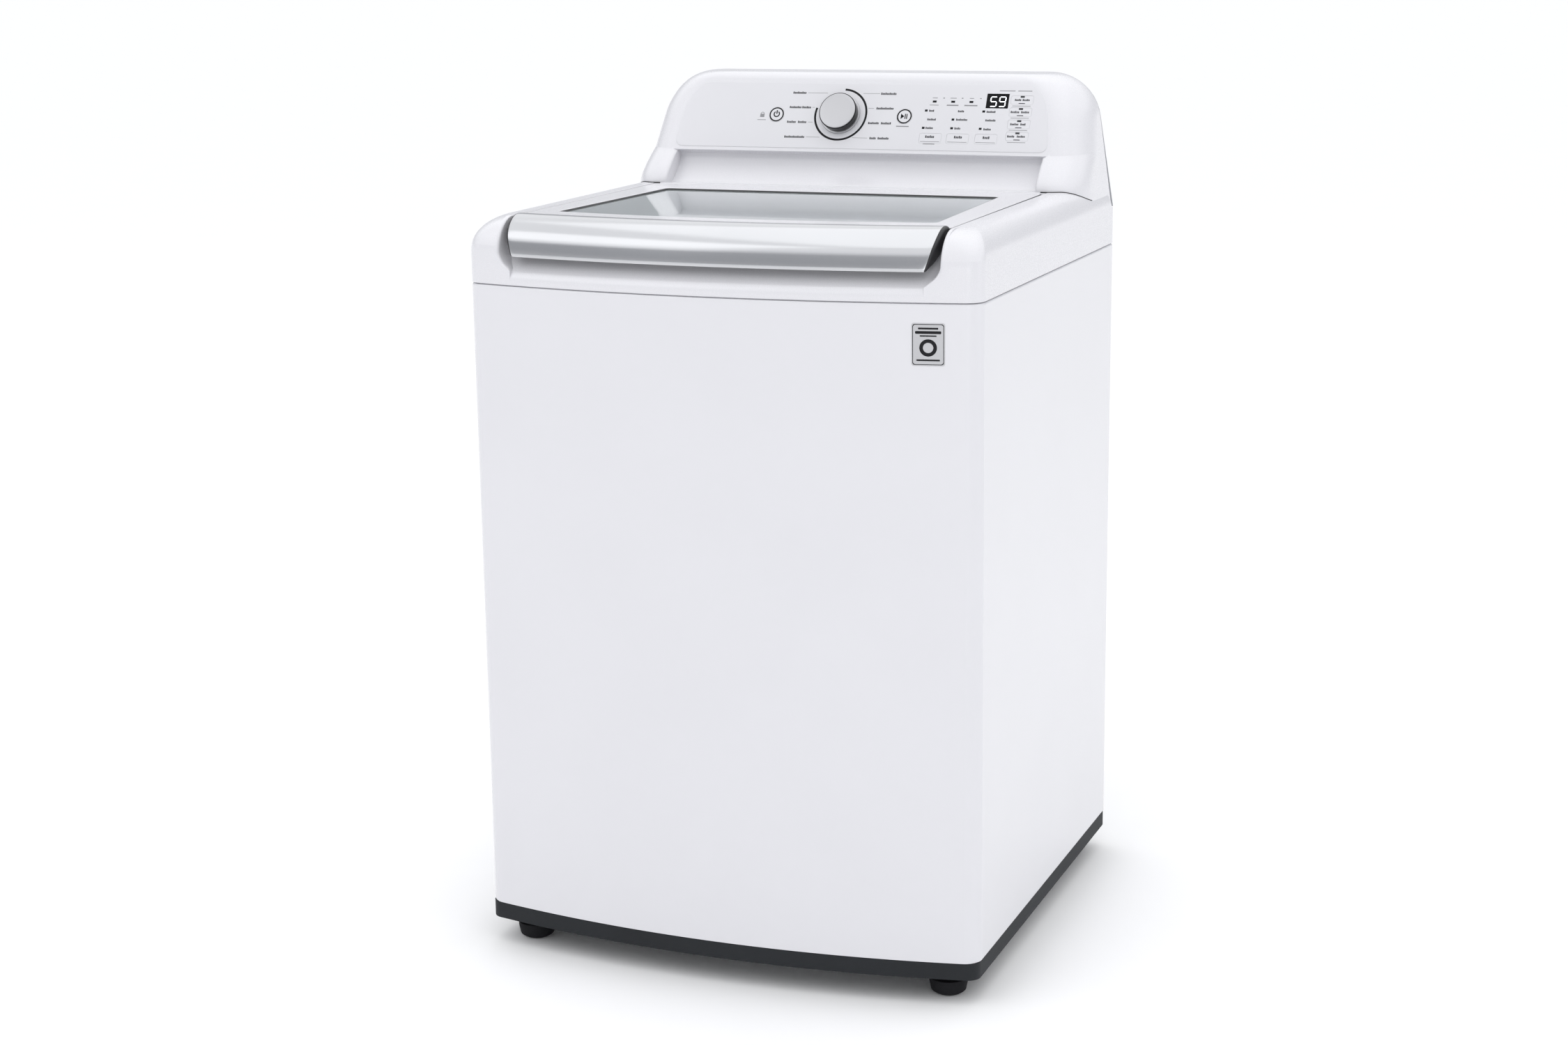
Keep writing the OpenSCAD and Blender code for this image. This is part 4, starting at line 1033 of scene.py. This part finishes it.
# (y, z) from the handle's back edge over the front to its lower lip, on the middle plane
HANDLE_SKIN = [(-303, 979.6), (-306, 980.6), (-313, 980.9), (-319, 980.2), (-325.5, 978.4),
               (-331, 975.8), (-336.5, 972.2), (-341.5, 968), (-346, 963.3), (-349.8, 958.4),
               (-352.2, 953.4), (-353.6, 947.4), (-354.8, 940.6), (-355.8, 934.6), (-355.9, 931.6),
               (-355, 930.2)]
# the way back along the inside where the handle is hollow, and where its ends are closed
HANDLE_HOLLOW = [(-353.4, 930.6), (-352.6, 934), (-351.6, 941), (-349.5, 948.6), (-346.2, 955.6),
                 (-341.2, 962.2), (-334.5, 968), (-327.4, 972), (-318.6, 974.6), (-303, 975.2)]
HANDLE_SOLID = [(-345, 936), (-338, 938), (-332, 941), (-326, 945), (-320, 949), (-316, 953),
                (-312, 957), (-309, 960), (-306, 963), (-303, 965)]
HANDLE_H = 51


def make_handle():
    half_len = handle_hi.x
    heart = Vector((-322, 950))
    end_taper = 12

    def station(share, inset, solid):
        """Section at a share of the half length, drawn in by inset for the rounded ends."""
        section = [(y, z, inset) for y, z in HANDLE_SKIN]
        section += [(y, z, 0) for y, z in (HANDLE_SOLID if solid else HANDLE_HOLLOW)]
        ring = []
        for y, z, draw in section:
            low = max(0, (DECK_Z + 3 - z) / HANDLE_H)
            x = share * half_len - math.copysign(end_taper * low ** 1.6, share) * abs(share) ** 6
            d = (heart - Vector((y, z))).normalized() * draw
            y, z = y + d.x, z + d.y
            ring.append((x, bow_y(x, y), z))
        return ring

    step = [k / 26 for k in range(1, 26)]
    ends = ((0.978, 0), (0.986, 0.15), (0.993, 0.8), (0.9975, 2), (1, 4.2))
    rings = [station(-share, inset, True) for share, inset in reversed(ends[:2])]
    rings += [station(share, 0, False) for share in [-k for k in reversed(step)] + [0] + step]
    rings += [station(share, inset, True) for share, inset in ends[:2]]
    add_mesh("lid_handle_bar", solid(rings), silver, "lid_handle", 50)
    # The handle's rounded ends are black: painted shade standing in for the dark gap between the ends and
    # the top cover.
    caps = [solid([station(side * share, inset, True) for share, inset in ends[1:]]) for side in (-1, 1)]
    add_mesh("lid_handle_shaded_ends", caps, black_plastic, "lid_handle", 50, slot="black_plastic")


# ---- basket and tub


# half steps across and up, round the edge of one cell of the basket's wall
CELL_EDGE = ((0, 0), (1, 0), (2, 0), (2, 1), (2, 2), (1, 2), (0, 2), (0, 1))


def make_basket():
    """Drum with punched holes, rolled rim and a dished floor."""
    r = 261.6
    columns, rows = 96, 22
    z0, z1 = 232, 752
    step_z = (z1 - z0) / rows
    hole = 2.7
    parts = []
    verts, faces = [], []
    index = {}

    def vertex(key, a, z, radius=r):
        if key not in index:
            index[key] = len(verts)
            verts.append((radius * math.cos(a), TUB_Y + radius * math.sin(a), z))
        return index[key]

    for c in range(columns):
        for k in range(rows):
            a0, a1 = 2 * math.pi * c / columns, 2 * math.pi * (c + 1) / columns
            am, zm = (a0 + a1) / 2, z0 + (k + 0.5) * step_z
            angles, heights = (a0, am, a1), (z0 + k * step_z, zm, z0 + (k + 1) * step_z)
            edge = [vertex(((2 * c + i) % (2 * columns), 2 * k + j), angles[i], heights[j])
                    for i, j in CELL_EDGE]
            if (c + k) % 2 or k in (0, rows - 1):
                faces.append(tuple(edge))
                continue
            ring = []
            for q in range(8):
                b = math.radians(225 + 45 * q)
                ring.append(vertex((c, k, "hole", q), am + hole * math.cos(b) / r, zm + hole * math.sin(b)))
            for q in range(8):
                faces.append((edge[q], edge[(q + 1) % 8], ring[(q + 1) % 8], ring[q]))
    parts.append((verts, faces))
    floor = [(18, 204.4), (236, 204.4), (246, 205.6), (254, 210), (259.4, 218), (r, 226), (r, z0)]
    parts.append(lathe(floor, (0, TUB_Y), 2 * columns))
    rim = [(r, z1), (r, 758), (r - 1.5, 761), (r - 1.2, 765)]
    parts.append(lathe(rim, (0, TUB_Y), 2 * columns))
    add_mesh("wash_basket_drum", parts, stainless, "wash_basket",
             sharp=50, thickness=0.7)


def make_balance_ring():
    out, mouth = box_mm("balance_ring")[1].x, 224
    profile = [(mouth, 773)] + [(mouth, 800), (mouth + 1.2, 805), (mouth + 4, 809), (mouth + 8, 811.4),
                                (mouth + 12, 812), (236, 812), (238, 811), (240, 810.4), (247, 810.4),
                                (249, 811), (251, 812), (258, 812), (261.6, 810.6), (263.4, 808),
                                (out, 804), (out, 770), (262, 766.5), (240, 768.5), (228, 771)]
    add_mesh("balance_ring_piece", lathe(profile + profile[:1], (0, TUB_Y), 144), pale_plastic,
             "balance_ring", 50)


def make_wash_plate():
    """Impeller: a low dish with four curved vanes that swell out of it."""
    outer = 209
    n_r, n_a = 40, 160
    rings = []
    for i in range(n_r + 1):
        t = i / n_r
        radius = 16 + (outer - 16) * t
        ring = []
        for k in range(n_a):
            a = 2 * math.pi * k / n_a
            base = 222 + 26 * math.exp(-((radius - 16) / 52) ** 2) + 5 * max(0, t - 0.85) / 0.15
            turn = 4 * (a - 0.5 * t)
            vane = max(0, math.cos(turn)) ** 5
            rise = math.sin(math.pi * min(1, max(0, (radius - 30) / 172))) ** 0.7
            ring.append((radius * math.cos(a), TUB_Y + radius * math.sin(a), base + 30 * vane * rise))
        rings.append(ring)
    edge = []
    for grow, z in ((0.8, 226), (1, 224), (0.4, 221.5), (-2, 219.5), (-50, 216), (-140, 217), (-192, 218)):
        edge.append([((outer + grow) * math.cos(2 * math.pi * k / n_a),
                      TUB_Y + (outer + grow) * math.sin(2 * math.pi * k / n_a), z) for k in range(n_a)])
    add_mesh("wash_plate_impeller", loft(rings + edge + [rings[0]]), pale_plastic, "wash_plate", 60)
    cap = [(0, 273.6), (12, 273.4), (22, 272.6), (30, 270.6), (35, 267.4), (37.4, 264), (38, 262),
           (38, 246), (0, 246)]
    add_mesh("plate_cap_piece", lathe(cap, (0, TUB_Y), 64), silver, "plate_cap", 50)


def make_tub():
    r = 288
    wall = [(46, 178.2), (200, 178.2), (270, 179), (281, 182), (286.6, 189), (r, 200), (r, 420),
            (r + 2, 422), (r + 2, 427), (r, 429), (r, 610), (r + 2, 612), (r + 2, 617), (r, 619), (r, 810),
            (r + 5, 812),
            (r + 5, 820), (r - 4, 820), (r - 4, 204), (r - 12, 190), (r - 24, 186), (46, 186)]
    lugs = []
    for sx in (-1, 1):
        for sy in (-1, 1):
            lug = []
            for grow, z in ((-2, 340), (0, 341.5), (0, 348.5), (-2, 350)):
                ring = arc(0, 0, 22 + grow, -90, 90, 12)
                ring = [(ROD_REACH * math.sqrt(2) - 4 + x * 0.9, y) for x, y in ring] + \
                       [(r - 3, 26 + grow), (r - 3, -26 - grow)]
                a = math.atan2(sy, sx)
                c, s = math.cos(a), math.sin(a)
                lug.append([(x * c - y * s, TUB_Y + x * s + y * c, z) for x, y in ring])
            lugs.append(solid(lug))
    outlet = lathe([(16, 166), (19.4, 166), (20, 167), (20, 180), (16, 180)], (-150, 120), 40)
    add_mesh("outer_tub_shell", [lathe(wall + wall[:1], (0, TUB_Y), 144), outlet] + lugs,
             tub_grey, "outer_tub", 45)
    cover = [(227, 820.2), (293, 820.2), (293, 824), (290, 825.4), (274, 828), (262, 829), (254, 831.4),
             (243, 834), (230, 834), (227.6, 833), (227, 831)]
    add_mesh("tub_cover_ring", lathe(cover + cover[:1], (0, TUB_Y), 144), pale_plastic,
             "tub_cover", 45)


# ---- springs and hoses


def coil(centre, r, z0, z1, turns, wire, n=22):
    """Helical wire."""
    rings = []
    total = int(turns * n)
    for k in range(total + 1):
        t = k / total
        a = 2 * math.pi * turns * t
        height = z0 + wire + (z1 - z0 - 2 * wire) * t
        c = Vector((centre[0] + r * math.cos(a), centre[1] + r * math.sin(a), height))
        out = Vector((math.cos(a), math.sin(a), 0))
        rings.append([tuple(c + out * wire * math.cos(b) + Vector((0, 0, wire * math.sin(b))))
                      for b in (2 * math.pi * q / 8 for q in range(8))])
    return solid(rings)


def make_springs():
    lo, hi = box_mm("suspension_springs")
    springs = [coil((sx * ROD_REACH, TUB_Y + sy * ROD_REACH), 13.2, lo.z, hi.z, 9, 1.9)
               for sx in (-1, 1) for sy in (-1, 1)]
    obj = add_mesh("suspension_coils", springs, shaft_steel, "suspension_springs", 60)
    obj.modifiers.clear()
    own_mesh(obj)


def make_sump_hose():
    lo, hi = box_mm("sump_hose")
    x, y = (lo.x + hi.x) / 2, (lo.y + hi.y) / 2
    profile = [(21, lo.z), (23.4, lo.z), (23.4, lo.z + 8)]
    for k in range(5):
        z = lo.z + 11 + k * 7.4
        profile += [(24, z), (26.4, z + 1.6), (26.8, z + 3), (26.4, z + 4.4), (24, z + 6)]
    profile += [(23.2, hi.z - 8), (23.2, hi.z), (21, hi.z)]
    obj = add_mesh("sump_bellows", lathe(profile + profile[:1], (x, y), 48), hose, "sump_hose", 50)
    obj.modifiers.clear()
    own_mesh(obj)


# ---- small outside pieces


def on_front(points, proud):
    """Points of (x, z) put on the cabinet's bowed front, standing proud of it."""
    return [(x, bow_y(x, FRONT_Y) - proud, z) for x, z in points]


def make_badge():
    """Plain silver plate on the cabinet front, with a dark border and plain shapes."""
    x0, x1, z0, z1 = 261, 301, 818, 870

    def plate(grow, proud):
        return on_front(rounded_box((x0 + x1) / 2, (z0 + z1) / 2, x1 - x0 + 2 * grow,
                                    z1 - z0 + 2 * grow, 3), proud)

    add_mesh("badge_plate", solid([plate(0, 0), plate(0, 0.25), plate(-0.3, 0.4)]), badge_metal,
             "cabinet", slot="silver_plastic")
    rings = [plate(-1.2, 0.38), plate(-1.2, 0.46), plate(-2, 0.46), plate(-2, 0.38)]
    border = tube(rings)
    cx = (x0 + x1) / 2
    loops = [rounded_box(cx, cz, w, h, h * 0.3, 3)
             for cz, w, h in ((863.4, 24, 2.2), (858.6, 31, 3.4), (854.4, 20, 1.6), (825, 28, 2))]
    marks = [solid([on_front(loop, p) for p in (0.38, 0.47)]) for loop in loops]
    outer, inner = arc(cx, 840, 10.5, 0, 352, 44), arc(cx, 840, 6.2, 0, 352, 44)
    dark_ring = [on_front(loop, p)
            for loop, p in ((outer, 0.38), (outer, 0.47), (inner, 0.47), (inner, 0.38))]
    marks.append(tube(dark_ring))
    add_mesh("badge_print", [border] + marks, ink, "cabinet", slot="silver_plastic")


SOFT_NODES = {
    "base_frame": (charcoal, 1.2), "rear_panel": (zinc, 0), "rear_screws": (shaft_steel, 0.4),
    "foot_nuts": (shaft_steel, 0.5), "console_back": (zinc, 0.3), "display_board": (board, 0),
    "main_board": (board, 0.3), "water_valves": (pale_plastic, 0.6), "cord_gland": (black_plastic, 0.6),
    "drain_port": (black_plastic, 0.8), "drain_hose": (hose, 0.8), "drain_pump": (black_plastic, 0.8),
    "lid_lock": (black_plastic, 0.8), "hinge_brackets": (black_plastic, 0.8),
    "drawer_housing": (pale_plastic, 0.5), "corner_brackets": (zinc, 0.6),
    "suspension_rods": (shaft_steel, 0.5), "damper_cups": (pale_plastic, 0.8),
    "bearing_housing": (cast, 1), "shaft_bearings": (shaft_steel, 0.5), "shaft_seal": (hose, 0.5),
    "motor_stator": (copper, 0.8), "basket_hub": (cast, 1), "spin_shaft": (shaft_steel, 0.4),
    "wash_shaft": (shaft_steel, 0.4), "motor_rotor": (zinc, 0.8), "pump_impeller": (pale_plastic, 0.4),
    "lid_hinge_pins": (shaft_steel, 0.5), "lid_strike": (black_plastic, 0.4),
    "detergent_drawer": (drawer_blue, 0.7), "foot_front_left": (rubber, 0.8),
    "foot_front_right": (rubber, 0.8), "foot_rear_left": (rubber, 0.8), "foot_rear_right": (rubber, 0.8),
}


def make_soft_copies():
    for node, (material, width) in SOFT_NODES.items():
        soft_copy(node, material, width)
    brackets = bpy.data.objects["corner_brackets_piece"].data
    flat, gap = HALF_W - CORNER_R, 1.6
    for v in brackets.vertices:
        x, y = abs(v.co.x) / MM, v.co.y / MM
        if y < 0 and x > flat:
            drop = root(CORNER_R ** 2 - min(x - flat, CORNER_R) ** 2)
            v.co.y = max(y, bow_y(x, FRONT_Y) + CORNER_R - drop + gap) * MM


# ---- floor, light and camera


def make_stage():
    bm = bmesh.new()
    bmesh.ops.create_grid(bm, x_segments=8, y_segments=8, size=60)
    floor = from_bmesh("floor", bm)
    floor.location.z = -0.0005
    mat = surface("pale_floor", (0.96, 0.96, 0.96), 0.6, 0, 0.004, 0.05, 30, 0)
    floor.data.materials.append(mat)


def area_light(name, location, target, size, power, color=(1, 1, 1)):
    data = bpy.data.lights.new(name, "AREA")
    data.shape = "RECTANGLE"
    data.size, data.size_y = size
    data.energy = power
    data.color = color
    obj = new_object(name, data)
    obj.location = location
    obj.rotation_euler = (Vector(target) - Vector(location)).to_track_quat("-Z", "Y").to_euler()


PALE_SKY = (0.975, 0.982, 1, 1)


def make_light():
    world = bpy.data.worlds.new("studio")
    world.use_nodes = True
    tree = world.node_tree
    back = tree.nodes["Background"]
    set_inputs(back, Strength=1.2)
    coords, split, dome = (add_node(tree, kind) for kind in ("TexCoord", "SeparateXYZ", "ValToRGB"))
    link(tree, coords, "Generated", split, "Vector")
    link(tree, split, "Z", dome, "Fac")
    # the grey band is for the handle to mirror, so the plain backdrop is what shows behind the object
    paths, plain = add_node(tree, "LightPath"), add_node(tree, "MixRGB", Color2=PALE_SKY)
    link(tree, paths, "Is Camera Ray", plain, "Fac")
    link(tree, dome, "Color", plain, "Color1")
    link(tree, plain, "Color", back, "Color")
    low, high = dome.color_ramp.elements
    low.position, low.color = 0, (0.93, 0.935, 0.95, 1)
    high.position, high.color = 0.45, PALE_SKY
    for position in (0.1, 0.26):
        dome.color_ramp.elements.new(position).color = (0.31, 0.32, 0.34, 1)
    bpy.context.scene.world = world
    area_light("key", (-2.6, -2.8, 3.4), (0, 0, 0.7), (3.4, 2.8), 16)
    area_light("top", (0.3, 0.2, 3.6), (0, 0, 0.9), (3.8, 3.8), 18)
    area_light("fill", (3.6, 0.1, 1.5), (0, 0, 0.6), (1.6, 2.2), 6, (0.97, 0.98, 1))
    area_light("front", (1.9, -4.4, 1), (0, 0, 0.7), (2.4, 1.2), 14)


def make_camera():
    data = bpy.data.cameras.new("camera")
    data.lens = 60.64
    data.sensor_width = 36
    data.clip_end = 200
    obj = new_object("camera", data)
    azimuth, elevation, roll = (math.radians(a) for a in (21.32, 12.84, -0.69))
    back = Vector((math.sin(azimuth) * math.cos(elevation), -math.cos(azimuth) * math.cos(elevation),
                   math.sin(elevation)))
    obj.location = (1.2556, -3.3136, 1.3410)
    obj.rotation_mode = "QUATERNION"
    level = (-back).to_track_quat("-Z", "Y")
    obj.rotation_quaternion = level @ Matrix.Rotation(roll, 3, "Z").to_quaternion()
    bpy.context.scene.camera = obj


make_cabinet()
make_top_cover()
make_console()
make_console_shade_line()
make_overlay()
make_keys()
make_knob()
make_display()
make_print()
make_lid()
make_handle()
make_basket()
make_balance_ring()
make_wash_plate()
make_tub()
make_springs()
make_sump_hose()
make_badge()
make_soft_copies()
make_stage()
make_light()
make_camera()
bpy.context.scene.view_settings.view_transform = "Standard"
